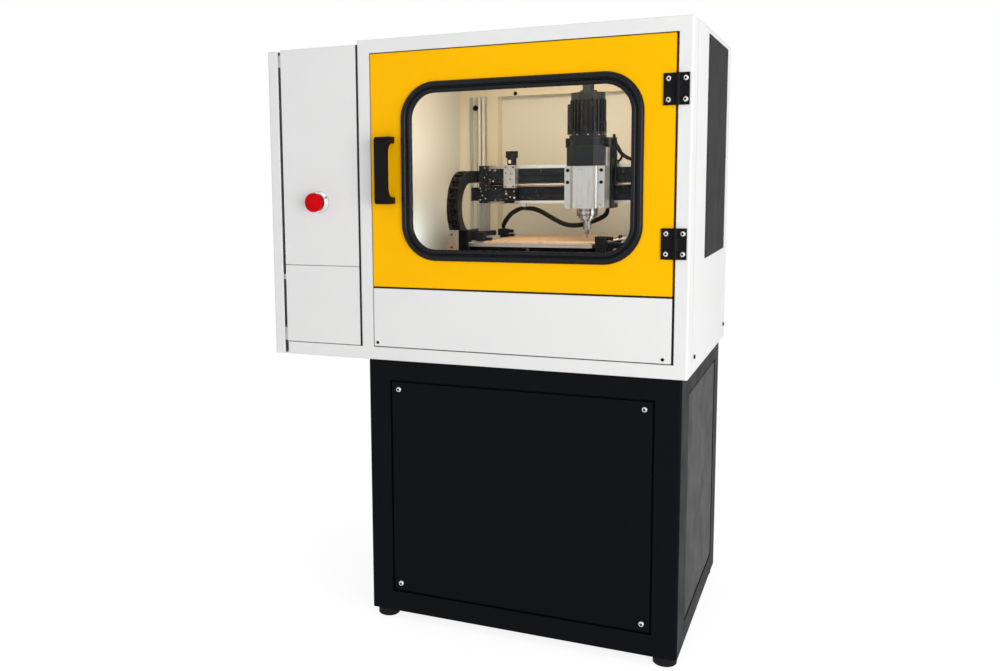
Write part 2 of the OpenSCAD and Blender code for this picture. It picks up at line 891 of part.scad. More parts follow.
// Section of the gasket: outwards from its inner edge, and forwards
module gasket_section() {
  web = [glass_lap, hole_lap];
  ridge = gasket_w * 0.27;
  square([gasket_w, lip_t]);
  intersection() {
    union() {
      translate([ridge * 0.75, lip_t - ridge * 0.35])
        circle(ridge * 0.85);
      translate([gasket_w - ridge, lip_t - ridge * 0.2])
        circle(ridge);
    }
    square([gasket_w, gasket_w]);
  }
  translate([web[0], -pane_t - back_lip])
    square([web[1] - web[0], pane_t + back_lip + 0.5]);
  translate([2, -pane_t - back_lip])
    square([web[1] - 2, back_lip]);
  translate([web[0], -pane_t - back_lip])
    square([gasket_w - 2 - web[0], pane_t + back_lip - sheet]);
}

module window_gasket() {
  color("#17181b") at_box()
    translate([window_x, 0, window_z])
      rotate([90, 0, 0])
        ring_sweep(inner_w, inner_h, inner_r)
          gasket_section();
}

module window_pane() {
  w = inner_w + 2 * glass_lap;
  h = inner_h + 2 * glass_lap;
  color("#dfe8ea", 0.35) at_box()
    face_plate([window_x - w / 2, window_x + w / 2], [0, pane_t],
      [window_z - h / 2, window_z + h / 2], inner_r + glass_lap);
}

module door_handle() {
  corner = 9;
  inner_corner = 20;
  color("#141416") at_box()
    translate([handle_x, 0, handle_z])
      difference() {
        intersection() {
          translate([0, -handle_reach / 2 + corner / 2, handle_h / 2])
            rotate([90, 0, 90])
              linear_extrude(handle_w)
                round_rect(handle_reach + corner, handle_h, corner);
          translate([handle_w / 2, -handle_reach / 2, 0])
            linear_extrude(handle_h)
              round_rect(handle_w, handle_reach + 12, 6);
          block([0, handle_w], [-handle_reach, 0], [0, handle_h]);
        }
        translate([-1, 0, handle_h / 2])
          rotate([90, 0, 90])
            linear_extrude(handle_w + 2)
              round_rect(2 * (handle_reach - handle_bar), handle_h - 2 * handle_foot, inner_corner);
      }
}

// Hinges: a frame leaf with the outer knuckles, a door leaf with the middle one, and a pin

module knuckles(z) {
  for (part = z)
    rod_z(knuckle_d, hinge_x, -pin_y, part);
}

module pin_bore(low) {
  rod_z(pin_d + 2 * running, hinge_x, -pin_y, [low - 1, low + leaf_h + 1]);
}

module hinge_frame_leaves() {
  color("#19191b") at_box()
    for (low = hinge_z)
      difference() {
        union() {
          block([hinge_x + knuckle_gap, hinge_x + frame_leaf_w], [-leaf_t, 0], [low, low + leaf_h]);
          knuckles([[low, low + knuckle_h], [low + leaf_h - knuckle_h, low + leaf_h]]);
        }
        block([hinge_x - knuckle_d, hinge_x + knuckle_d / 2 + knuckle_gap], [-2 * pin_y, 0],
          [low + knuckle_h, low + leaf_h - knuckle_h]);
        pin_bore(low);
      }
}

module hinge_door_leaves() {
  color("#19191b") at_box()
    for (low = hinge_z)
      difference() {
        union() {
          block([hinge_x - door_leaf_w, hinge_x - knuckle_gap], [-leaf_t, 0], [low, low + leaf_h]);
          knuckles([[low + knuckle_h + knuckle_gap, low + leaf_h - knuckle_h - knuckle_gap]]);
        }
        for (end = [[low - 1, low + knuckle_h + knuckle_gap],
            [low + leaf_h - knuckle_h - knuckle_gap, low + leaf_h + 1]])
          block([hinge_x - knuckle_d / 2 - knuckle_gap, hinge_x + knuckle_d], [-2 * pin_y, 1], end);
        pin_bore(low);
      }
}

module hinge_pins() {
  color("#3a3a3c") at_box()
    for (low = hinge_z)
      rod_z(pin_d, hinge_x, -pin_y, [low, low + leaf_h]);
}

module hinge_screws(dx) {
  for (low = hinge_z)
    for (dz = [-hinge_screw_z, hinge_screw_z])
      screw_front(hinge_screw, hinge_x + dx, -leaf_t, low + leaf_h / 2 + dz);
}

module door_hinge_screws() {
  color("#c8c8c8") at_box()
    hinge_screws(-door_leaf_w * hinge_screw_place);
}

// Machine base and bed

module machine_base() {
  tray_top = chain_low - link_h / 2 - sliding;
  rib_x = [bed_x + 8, bed_right - 8];
  color("#242426") at_box()
    difference() {
      union() {
        block([base_x, base_right], [base_y, base_back], [base_top - slab_t, base_top]);
        for (x = [base_x, base_right - pad])
          for (y = [base_y, base_back - pad])
            block([x, x + pad], [y, y + pad], [deck_z, base_top - slab_t]);
        for (y = rib_y)
          block(rib_x, [y, y + rib_d], [base_top, bed_z]);
        block([chain_x[0], chain_x[1]], [chain_bend_y - 35, chain_end + 13], [base_top, tray_top]);
        block([chain_x[0], chain_x[1]], [chain_end + sliding, chain_end + 13],
          [base_top, chain_low + link_h / 2]);
        block([bracket_x + bracket_w / 2, bed_x + 12], [base_y, base_y + 16],
          [base_top, base_top + bracket_h]);
      }
      rod_y(y_screw_d + 2 * running, y_screw_x, [rib_y[0] - 1, rib_y[1] + rib_d + 1], y_screw_z);
      for (z = [base_top - slab_t + 8, base_top - 12])
        block([base_x - 1, base_right + 1], [base_y - 1, base_y + 3], [z, z + 5]);
    }
}

module y_rails() {
  color("#b8b9bb") at_box()
    for (x = [left_rail_x, right_rail_x])
      difference() {
        block([x - y_rail_w / 2, x + y_rail_w / 2], rail_y, [base_top, base_top + y_rail_h]);
        for (side = [-1, 1])
          translate([x + side * y_rail_w / 2, rail_y[0] - 1, base_top + y_rail_h / 2])
            rotate([-90, 0, 0])
              cylinder(d = 2.5, h = rail_y[1] - rail_y[0] + 2);
      }
}

module y_leadscrew() {
  color("#9fa1a4") at_box()
    rod_y(y_screw_d, y_screw_x, [rib_y[0] - 6, rib_y[1] + rib_d + 6], y_screw_z);
}

module bed_plate() {
  groove = 2;
  stop = [24, 68, 8];
  color("#b4b6b8") at_box() {
    difference() {
      block([bed_x, bed_right], [bed_y, bed_y + bed_d], [bed_z, bed_top]);
      block([bed_x - 1, bed_right + 1], [bed_y - 1, bed_y + 1.5],
        [bed_z + bed_t / 2 - groove / 2, bed_z + bed_t / 2 + groove / 2]);
    }
    block([bed_x + 4, bed_x + 4 + stop[0]], [bed_y + 90, bed_y + 90 + stop[1]],
      [bed_top, bed_top + stop[2]]);
  }
}

module pcb_blank() {
  color("#c98a5a") at_box()
    block([pcb_x, pcb_x + pcb_w], [pcb_y, pcb_y + pcb_d], [bed_top, pcb_top]);
}

// Toe clamps on the bed's left edge, and a stop block beside its right edge
module clamp_blocks() {
  toe = [pcb_top, pcb_top + clamp_nose];
  left_x = [bed_x + 2, bed_x + 2 + clamp_w];
  color("#1c1c1e") at_box() {
    difference() {
      for (y = left_clamp_y) {
        block(left_x, [y, y + clamp_d], [bed_top, bed_top + clamp_h]);
        block([left_x[0], pcb_x + clamp_reach - 3], [y + 4, y + clamp_d - 4], toe);
      }
      rod_x(knob_stem + 2 * running, [left_x[1] - knob_stem_l - 1, left_x[1] + 1],
        left_clamp_y[1] + clamp_d / 2, knob_z[0]);
    }
    difference() {
      block(right_clamp_x, [right_clamp_y, right_clamp_y + clamp_d + 6], [base_top, bed_top + right_clamp_h]);
      rod_x(knob_stem + 2 * running, [right_clamp_x[1] - knob_stem_l, right_clamp_x[1] + 1],
        right_clamp_y + 12, knob_z[1]);
    }
  }
}

// Thumb knob whose stem points along -X from the given place
module thumb_knob(x, y, z) {
  rod_x(knob_stem, [x - knob_stem_l + 1, x + sliding], y, z);
  difference() {
    rod_x(knob_d, [x + sliding, x + knob_l], y, z);
    for (a = [0 : 45 : 315])
      translate([x + 5, y, z])
        rotate([a, 0, 0])
          translate([0, 0, knob_d / 2 + 1])
            rotate([0, 90, 0])
              cylinder(d = 4, h = knob_l);
  }
}

module clamp_knob_right() {
  color("#161618") at_box()
    thumb_knob(right_clamp_x[1], right_clamp_y + 12, knob_z[1]);
}

module clamp_knob_left() {
  color("#161618") at_box()
    thumb_knob(bed_x + 2 + clamp_w, left_clamp_y[1] + clamp_d / 2, knob_z[0]);
}

module rail_end_brackets() {
  slope = 6;
  half = bracket_w / 2;
  stop_h = 14;
  color("#c3c5c4") at_box() {
    translate([bracket_x, base_y + 10, base_top])
      rotate([90, 0, 0])
        linear_extrude(10)
          polygon([[-half - slope, 0], [half, 0], [half, bracket_h], [-half, bracket_h],
            [-half, bracket_h / 2], [-half - slope, bracket_h / 3]]);
    block([right_rail_x - half, right_rail_x + half], [base_y, base_y + 10],
      [base_top, base_top + stop_h]);
  }
}

// Gantry

module gantry_legs() {
  color("#c6c8ca") at_box()
    for (x = leg_x)
      difference() {
        block([x, x + leg_w], [beam_front - 7, beam_front - 7 + leg_d], [bearing_top, beam_z + 1]);
        for (z = [bearing_top + 12, beam_z - 12])
          rod_y(7, x + leg_w / 2, [beam_front - 8, beam_front - 3], z);
      }
}

module y_bearing_blocks() {
  groove = y_rail_w / 2 + sliding;
  color("#1f1f21") at_box() {
    for (x = [left_rail_x, right_rail_x])
      difference() {
        block([x - bearing_w / 2, x + bearing_w / 2], bearing_y, [base_top + bearing_foot, bearing_top]);
        block([x - groove, x + groove], [bearing_y[0] - 1, bearing_y[1] + 1],
          [base_top, base_top + y_rail_h + sliding]);
      }
    difference() {
      block([left_rail_x + bearing_w / 2, right_rail_x - bearing_w / 2],
        [beam_front, beam_front + tie_d], [base_top + 1, bed_z - sliding]);
      rod_y(y_screw_d + 2 * running, y_screw_x, [beam_front - 1, beam_front + tie_d + 1], y_screw_z);
    }
  }
}

module gantry_end_blocks() {
  color("#18181a") at_box()
    difference() {
      union() {
        for (x = [left_block_x, right_block_x])
          block(x, end_block_y, [beam_z + 1, beam_top + 1]);
        block([chain_x[0], left_block_x[0] + 1], [chain_top, chain_top + 6],
          [chain_mid + chain_r - link_h / 2, chain_mid + chain_r + link_h / 2]);
      }
      block([stub_x[0] - 1, stub_x[1] + 1], [beam_front, beam_back], low_z);
      rod_x(x_screw_d + 2 * running, [right_block_x[0] - 1, right_block_x[0] + 10], x_screw_y, x_screw_z);
    }
}

module gantry_profiles() {
  mid_x = [left_block_x[1], right_block_x[0]];
  color("#1d1d20") at_box()
    difference() {
      union() {
        block(stub_x, [beam_front, beam_back], low_z);
        block(mid_x, [beam_front, beam_back], high_z);
      }
      for (z = [(low_z[0] + low_z[1]) / 2, (high_z[0] + high_z[1]) / 2])
        block([stub_x[0] - 1, stub_x[1] + 1], [beam_front - 1, beam_front + 1.5],
          [z - 1, z + 1]);
    }
}

module gantry_strips() {
  mid_x = [left_block_x[1], right_block_x[0]];
  color("#b2b4b6") at_box() {
    block(mid_x, [beam_front, beam_back], [beam_z, low_z[0]]);
    block(mid_x, [beam_front, beam_back], [high_z[1], beam_top]);
    block(mid_x, [beam_back - web_d, beam_back], [low_z[1], high_z[0]]);
    block([clip_x - 5, clip_x + 5], [cable_y - 5, cable_y + 5],
      [cable_z + cable_r + sliding, beam_z]);
    rod_z(5, clip_x - 12, beam_front + 4, [beam_z - 6, beam_z]);
  }
}

module x_leadscrew() {
  color("#cdced0") at_box()
    rod_x(x_screw_d, [left_block_x[1] + 3, right_block_x[0] + 9], x_screw_y, x_screw_z);
}

// Two blocks with the lead screw between them, closed by a wall at the left
module x_drive_box() {
  x = [left_block_x[1], left_block_x[1] + drive_box_w];
  y = [beam_front - drive_box_d, beam_front];
  color("#1a1a1c") at_box()
    difference() {
      union() {
        block(x, y, [low_z[0] - 1, low_z[1]]);
        block(x, y, high_z);
        block([x[0], x[0] + drive_wall], y, [low_z[0] - 1, high_z[1]]);
      }
      rod_x(x_screw_d + 2 * running, [x[0] + 2, x[0] + drive_wall + 1], x_screw_y, x_screw_z);
    }
}

module x_bearing_block() {
  x = [left_block_x[1] + drive_box_w, left_block_x[1] + drive_box_w + bearing_block_w];
  front = beam_front - bearing_block_d;
  hole = 4;
  color("#b9bbbd") at_box()
    difference() {
      block(x, [front, beam_front], [x_screw_z - bearing_block_low, beam_top + 1]);
      rod_x(x_screw_d + 2 * running, [x[0] - 1, x[1] + 1], x_screw_y, x_screw_z);
      rod_z(lock_pin[0] + 2 * running, (x[0] + x[1]) / 2, x_screw_y, [beam_top - lock_pin[1], beam_top + 2]);
      for (dx = [5, bearing_block_w - 5])
        for (z = [x_screw_z - 2.8, beam_top - 5])
          rod_y(hole, x[0] + dx, [front - 1, front + 3], z);
      for (place = [[11, 14], [9, 28]])
        rod_y(6.5, x[1] - place[0], [front - 1, front + 5], x_screw_z + place[1]);
    }
}

module x_lock_knob() {
  seat = beam_top + 1;
  flute = 3;
  color("#1b1b1d") at_box()
    translate([left_block_x[1] + drive_box_w + bearing_block_w / 2, x_screw_y, seat]) {
      translate([0, 0, -lock_pin[1]])
        cylinder(d = lock_pin[0], h = lock_pin[1] + 1);
      translate([0, 0, sliding])
        cylinder(d = lock_neck[0], h = lock_neck[1]);
      difference() {
        translate([0, 0, lock_neck[1]])
          cylinder(d = lock_knob[0], h = lock_knob[1]);
        for (a = [0 : 15 : 345])
          rotate(a)
            translate([lock_knob[0] / 2 + 0.8, 0, lock_neck[1] + 2])
              cylinder(d = flute, h = lock_knob[1] - 4, $fn = 16);
      }
    }
}

// X carriage, with the Z rails on its front and the Z motor behind the spindle

module x_carriage() {
  x = [axis[0] - carriage_w / 2, axis[0] + carriage_w / 2];
  shelf = [axis[0] - 34, axis[0] + 34];
  motor_y = [carriage_y[0] + 17, carriage_y[0] + 17 + z_motor];
  color("#1b1b1d") at_box() {
    difference() {
      block(x, carriage_y, carriage_z);
      rod_x(x_screw_d + 2 * running, [x[0] - 1, x[1] + 1], x_screw_y, x_screw_z);
    }
    block(x, [carriage_y[0] + 1, beam_back + 8], [beam_top + sliding, beam_top + shoe_t]);
    block(x, [beam_back + sliding, beam_back + 8], [high_z[0] + 8, beam_top + shoe_t]);
    block(x, [carriage_y[0] + 1, beam_back], [carriage_z[0], beam_z - sliding]);
    for (dx = z_rail_x)
      block([axis[0] + dx - z_rail_w / 2, axis[0] + dx + z_rail_w / 2],
        [carriage_y[0] - z_rail_d, carriage_y[0] + 1], [beam_z + 2, carriage_z[1]]);
    block(shelf, [carriage_y[0] + 1, motor_y[1]], [carriage_z[1] - 6, carriage_z[1]]);
    block([x[1] - 4, x[1] + 10], [carriage_y[0] + 1, carriage_y[0] + 5],
      [carriage_z[1] - 34, carriage_z[1] + 14]);
    block([axis[0] - 15, axis[0] + 15], [motor_y[0] + 6, motor_y[1] - 6],
      [carriage_z[1] - 1, carriage_z[1] + z_motor_lift + 1]);
    translate([axis[0], (motor_y[0] + motor_y[1]) / 2, carriage_z[1] + z_motor_lift])
      linear_extrude(z_motor)
        cut_square(z_motor, 5);
  }
}

module z_plate() {
  groove = z_rail_w / 2 + sliding;
  color("#a9abad") at_box()
    difference() {
      block([axis[0] - plate_w / 2, axis[0] + plate_w / 2], z_plate_y, [head_low, mount_top - ear_h]);
      for (dx = z_rail_x)
        block([axis[0] + dx - groove, axis[0] + dx + groove],
          [carriage_y[0] - z_rail_d - sliding, z_plate_y[1] + 1], [head_low - 1, mount_top + 1]);
    }
}

// Spindle head

module spindle_block() {
  corner = 10;
  color("#c4c6c9") at_box()
    difference() {
      union() {
        block([axis[0] - flange_w / 2, axis[0] + flange_w / 2], flange_y, [head_low, head_top]);
        intersection() {
          round_box([axis[0] - block_w / 2, axis[0] + block_w / 2], [block_front, block_front + 2 * block_w],
            [head_low, head_top], corner);
          block([axis[0] - block_w, axis[0] + block_w], [block_front, flange_y[1]], [head_low, head_top]);
        }
      }
      rod_z(nose_d - 17, axis[0], axis[1], [head_low - 1, head_low + spigot_h]);
      rod_z(shaft_d + 2 * sliding, axis[0], axis[1], [head_low, head_low + 80]);
      for (side = [-1, 1])
        for (drop = flange_drops)
          rod_y(drop > 40 ? 3 : 5.5, axis[0] + side * flange_hole_x, [flange_y[0] - 1, flange_y[0] + 4],
            head_top - drop);
    }
}

// Mount between block and motor, with chamfered corners, ears and a round flange
module spindle_mount() {
  half = flange_w / 2 - 2.4;
  ear_x = flange_w / 2 + 3.6;
  front = axis[1] - 41;
  cut = 20.5;
  color("#19191b") at_box() {
    translate([axis[0], 0, head_top])
      linear_extrude(mount_h - 18)
        polygon([[-half, z_plate_y[0]], [-half, front + cut], [cut - half, front],
          [half - cut, front], [half, front + cut], [half, z_plate_y[0]]]);
    block([axis[0] - ear_x, axis[0] + ear_x], [axis[1] - 8, z_plate_y[0]], [mount_top - ear_h, mount_top]);
    intersection() {
      rod_z(motor_d, axis[0], axis[1], [mount_top - ear_h, mount_top]);
      block([axis[0] - motor_d, axis[0] + motor_d], [0, z_plate_y[0]], [mount_top - ear_h - 1, mount_top + 1]);
    }
  }
}

// Finned motor with its end cap, neck and cable gland
module spindle_motor() {
  foot = 20;
  cap = 16;
  fin = 3.2;
  core = motor_d - 9;
  z0 = mount_top;
  body = [z0 + foot, z0 + foot + motor_h - cap];
  color("#1a1a1c") at_box() {
    rod_z(motor_d + 3, axis[0], axis[1], [z0, z0 + 6]);
    rod_z(core + 2, axis[0], axis[1], [z0 + 6, body[0]]);
    translate([axis[0], axis[1], body[0] - 6])
      linear_extrude(body[1] - body[0] + 6) {
        circle(d = core);
        for (i = [0 : fin_count - 1])
          rotate(i * 360 / fin_count)
            translate([0, -fin / 2])
              square([motor_d / 2, fin]);
      }
    rod_z(motor_d - 4, axis[0], axis[1], [body[1], body[1] + cap]);
    rod_z(38, axis[0], axis[1], [body[1] + cap, body[1] + cap + 5]);
    rod_z(25, axis[0], axis[1], [body[1] + cap + 5, body[1] + cap + 26]);
    block([axis[0] - motor_d / 2 - 5, axis[0] - core / 2 + 3], [axis[1] - 9, axis[1] + 5],
      [z0 + 8, body[1] - 8]);
  }
}

// Fixed bearing nose below the block
module spindle_nose() {
  steps = [[29, 5], [39, 6], [nose_d, nose_h - 11]];
  color("#b9b4ae") at_box()
    translate([axis[0], axis[1], head_low - nose_h])
      difference() {
        union() {
          cylinder(d = steps[0][0], h = nose_h);
          translate([0, 0, steps[0][1]])
            cylinder(d = steps[1][0], h = nose_h - steps[0][1]);
          translate([0, 0, steps[0][1] + steps[1][1]])
            cylinder(d = steps[2][0], h = steps[2][1]);
          translate([0, 0, nose_h - 1])
            cylinder(d = nose_d - 17, h = spigot_h + 1);
        }
        translate([0, 0, -1])
          cylinder(d = shaft_d + 2 * running, h = nose_h + spigot_h + 2);
      }
}

// Turning shaft with the collet nut
module collet_nut() {
  low = head_low - nose_h - collet_h;
  tip = 11;
  color("#b4aea6") at_box()
    translate([axis[0], axis[1], low])
      difference() {
        union() {
          cylinder(d1 = 8, d2 = 10, h = tip);
          translate([0, 0, tip])
            cylinder(d = collet_d, h = collet_h - tip - sliding);
          translate([0, 0, collet_h - 1])
            cylinder(d = shaft_d, h = nose_h + 70);
        }
        for (side = [-1, 1])
          translate([side * (collet_d / 2 + 3.5), 0, tip + 7])
            cube([10, collet_d, 6], center = true);
        translate([0, 0, -1])
          cylinder(d = drill_d, h = 24);
      }
}

module drill_bit() {
  low = head_low - nose_h - collet_h;
  tip = pcb_top + tip_gap;
  color("#8d8f92") at_box() {
    rod_z(drill_d, axis[0], axis[1], [tip + 2, low + 23]);
    translate([axis[0], axis[1], tip])
      cylinder(d1 = 0.4, d2 = drill_d, h = 2);
  }
}

// Drag chain: links along a top run, a half circle and a bottom run

// Place and turn of the chain's middle line at a distance from its top end
function chain_at(s) =
  s < top_run ? [chain_top - s, chain_mid + chain_r, 0]
  : s < top_run + bend_run
    ? let (a = (s - top_run) / chain_r * 180 / PI)
      [chain_bend_y - chain_r * sin(a), chain_mid + chain_r * cos(a), a]
    : [chain_bend_y + s - top_run - bend_run, chain_mid - chain_r, 180];

// Side of one link: hollow at the near end, to take the round end of the link before
module link_side(length, first, last) {
  horn = first ? 0 : 6;
  translate([horn, -link_h / 2])
    square([length - horn, link_h]);
  if (!last)
    translate([length, 0])
      circle(link_h / 2);
}

// One link: two side plates and cross bars, with a window in each of its outer faces
module chain_link(length, first, last) {
  wall = 3.2;
  bar = 3;
  window = [8, 12];
  difference() {
    linear_extrude(chain_w, center = true)
      difference() {
        link_side(length, first, last);
        if (!first)
          circle(link_h / 2 + sliding);
      }
    translate([length / 2, 0, 0])
      cube([4 * length, link_h - 2 * bar, chain_w - 2 * wall], center = true);
    if (!last)
      translate([length + link_h / 2, 0, 0])
        cube([link_h, link_h + 2, chain_w - 2 * wall], center = true);
    translate([length / 2 + 2, 0, 0])
      cube([window[0], link_h + 2, window[1]], center = true);
  }
}

module drag_chain() {
  color("#1e1e20") at_box()
    for (i = [0 : link_count - 1]) {
      from = chain_at(i * pitch);
      to = chain_at((i + 1) * pitch);
      step = [to[0] - from[0], to[1] - from[1]];
      translate([(chain_x[0] + chain_x[1]) / 2, from[0], from[1]])
        rotate([atan2(step[1], step[0]), 0, 0])
          rotate([90, 0, 90])
            chain_link(norm(step), i == 0, i == link_count - 1);
    }
}

// Cables: a tube swept along a smooth line through the route's points

function spline(p, i, t) =
  let (
    a = p[max(i - 1, 0)],
    b = p[i],
    c = p[i + 1],
    d = p[min(i + 2, len(p) - 1)]
  )
  0.5 * (2 * b + (c - a) * t + (2 * a - 5 * b + 4 * c - d) * t * t + (3 * b - a - 3 * c + d) * t * t * t);

function smooth(p, steps) = [
  for (i = [0 : len(p) - 2])
    for (k = [0 : steps - 1])
      spline(p, i, k / steps),
  p[len(p) - 1]
];

function unit(v) = v / norm(v);

function ring(centre, along, r) =
  let (
    side = unit(cross(along, [0, 1, 0.01])),
    up = cross(side, along)
  )
  [for (a = [0 : cable_sides - 1])
    centre + r * (side * cos(a * 360 / cable_sides) + up * sin(a * 360 / cable_sides))];

module tube(route, r) {
  line = smooth(route, 2);
  n = len(line);
  m = cable_sides;
  rings = [
    for (i = [0 : n - 1])
      ring(line[i], unit(line[min(i + 1, n - 1)] - line[max(i - 1, 0)]), r)
  ];
  points = [for (one = rings) each one];
  walls = [
    for (i = [0 : n - 2])
      for (j = [0 : m - 1])
        [i * m + j, i * m + (j + 1) % m, (i + 1) * m + (j + 1) % m, (i + 1) * m + j]
  ];
  ends = [
    [for (j = [0 : m - 1]) m - 1 - j],
    [for (j = [0 : m - 1]) (n - 1) * m + j]
  ];
  polyhedron(points, concat(ends, walls));
}

module probe_cable() {
  color("#1a1a1b") at_box()
    tube(probe_route, cable_r);
}

module carriage_cables() {
  color("#1a1a1b") at_box() {
    tube(head_route, cable_r);
    tube(side_route, cable_r * 0.7);
  }
}

feet();
pedestal_frame();
pedestal_panels();
stainless_screws();
front_frame();
rear_floor_shell();
right_side_panel();
left_wall();
roof_panel();
shelf_deck();
inner_frame();
corner_profile();
side_cover_plate();
panel_screws();
lower_front_panel();
control_box_shell();
control_upper_panel();
control_lower_panel();
control_left_cover();
estop_collar();
estop_plunger();
estop_cap();
estop_contact_block();
door_panel();
window_gasket();
window_pane();
door_handle();
hinge_frame_leaves();
hinge_door_leaves();
hinge_pins();
door_hinge_screws();
machine_base();
y_rails();
y_leadscrew();
bed_plate();
pcb_blank();
clamp_blocks();
clamp_knob_right();
clamp_knob_left();
rail_end_brackets();
gantry_legs();
y_bearing_blocks();
gantry_end_blocks();
gantry_profiles();
gantry_strips();
x_leadscrew();
x_drive_box();
x_bearing_block();
x_lock_knob();
x_carriage();
z_plate();
spindle_block();
spindle_mount();
spindle_motor();
spindle_nose();
collet_nut();
drill_bit();
drag_chain();
probe_cable();
carriage_cables();
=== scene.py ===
"""Looks of the circuit board drilling machine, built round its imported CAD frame.

The frame is in metres, with +X to the right, +Y to the back and +Z up. mm() turns a place in the
enclosure's own millimetres, counted from its front left bottom corner, into a place in the frame.
"""

import json
import math

import bmesh
import bpy
from mathutils import Matrix, Vector


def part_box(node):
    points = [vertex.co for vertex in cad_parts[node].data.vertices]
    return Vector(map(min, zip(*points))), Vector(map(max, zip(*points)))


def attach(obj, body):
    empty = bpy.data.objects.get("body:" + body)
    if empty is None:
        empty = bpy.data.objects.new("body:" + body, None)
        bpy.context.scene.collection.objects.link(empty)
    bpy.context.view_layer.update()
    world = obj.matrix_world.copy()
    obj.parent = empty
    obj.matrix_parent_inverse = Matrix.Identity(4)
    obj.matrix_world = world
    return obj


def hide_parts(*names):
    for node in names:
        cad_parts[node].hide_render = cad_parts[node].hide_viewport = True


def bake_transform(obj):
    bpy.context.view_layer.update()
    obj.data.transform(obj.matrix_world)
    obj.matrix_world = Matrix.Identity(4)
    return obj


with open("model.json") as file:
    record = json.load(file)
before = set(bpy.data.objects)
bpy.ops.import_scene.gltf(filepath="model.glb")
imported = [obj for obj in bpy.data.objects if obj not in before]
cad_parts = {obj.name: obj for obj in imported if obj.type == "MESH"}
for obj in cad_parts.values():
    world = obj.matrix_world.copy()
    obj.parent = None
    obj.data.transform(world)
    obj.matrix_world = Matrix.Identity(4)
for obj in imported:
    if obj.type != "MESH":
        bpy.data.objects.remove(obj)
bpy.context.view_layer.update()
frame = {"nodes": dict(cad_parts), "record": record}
nodes = frame["nodes"]
scene = bpy.context.scene
scene.view_settings.view_transform = "Standard"

ORIGIN = Vector((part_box("roof_panel")[0].x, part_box("front_frame")[0].y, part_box("front_frame")[0].z))
FRONT = (0, -1, 0)
RIGHT = (1, 0, 0)
UP = (0, 0, 1)


def mm(x, y, z):
    """A place in the enclosure's millimetres, in the frame's metres."""
    return ORIGIN + Vector((x, y, z)) / 1000


# Camera: the photo's own view, found from corners on it

CAMERA_PLACE = (986.7, -1983.1, 403.6)
CAMERA_YAW, CAMERA_PITCH, CAMERA_ROLL = 25.108, 6.936, -0.898
SENSOR_WIDTH = 36
LENS = 36.368
CAMERA_SHIFT = (0.1153, -0.0375)


def add_camera():
    yaw, pitch, roll = (math.radians(a) for a in (CAMERA_YAW, CAMERA_PITCH, CAMERA_ROLL))
    ahead = Vector((-math.sin(yaw) * math.cos(pitch), math.cos(yaw) * math.cos(pitch), -math.sin(pitch)))
    level = Vector((math.cos(yaw), math.sin(yaw), 0))
    upright = level.cross(ahead)
    right = math.cos(roll) * level + math.sin(roll) * upright
    up = -math.sin(roll) * level + math.cos(roll) * upright
    data = bpy.data.cameras.new("camera")
    data.sensor_width = SENSOR_WIDTH
    data.lens = LENS
    data.shift_x, data.shift_y = CAMERA_SHIFT
    camera = bpy.data.objects.new("camera", data)
    scene.collection.objects.link(camera)
    turn = Matrix((right, up, -ahead)).transposed().to_4x4()
    camera.matrix_world = Matrix.Translation(mm(*CAMERA_PLACE)) @ turn
    scene.camera = camera


add_camera()

# Node trees

# Most values of a noise texture lie between these two
NOISE_LOW, NOISE_HIGH = 0.3, 0.7


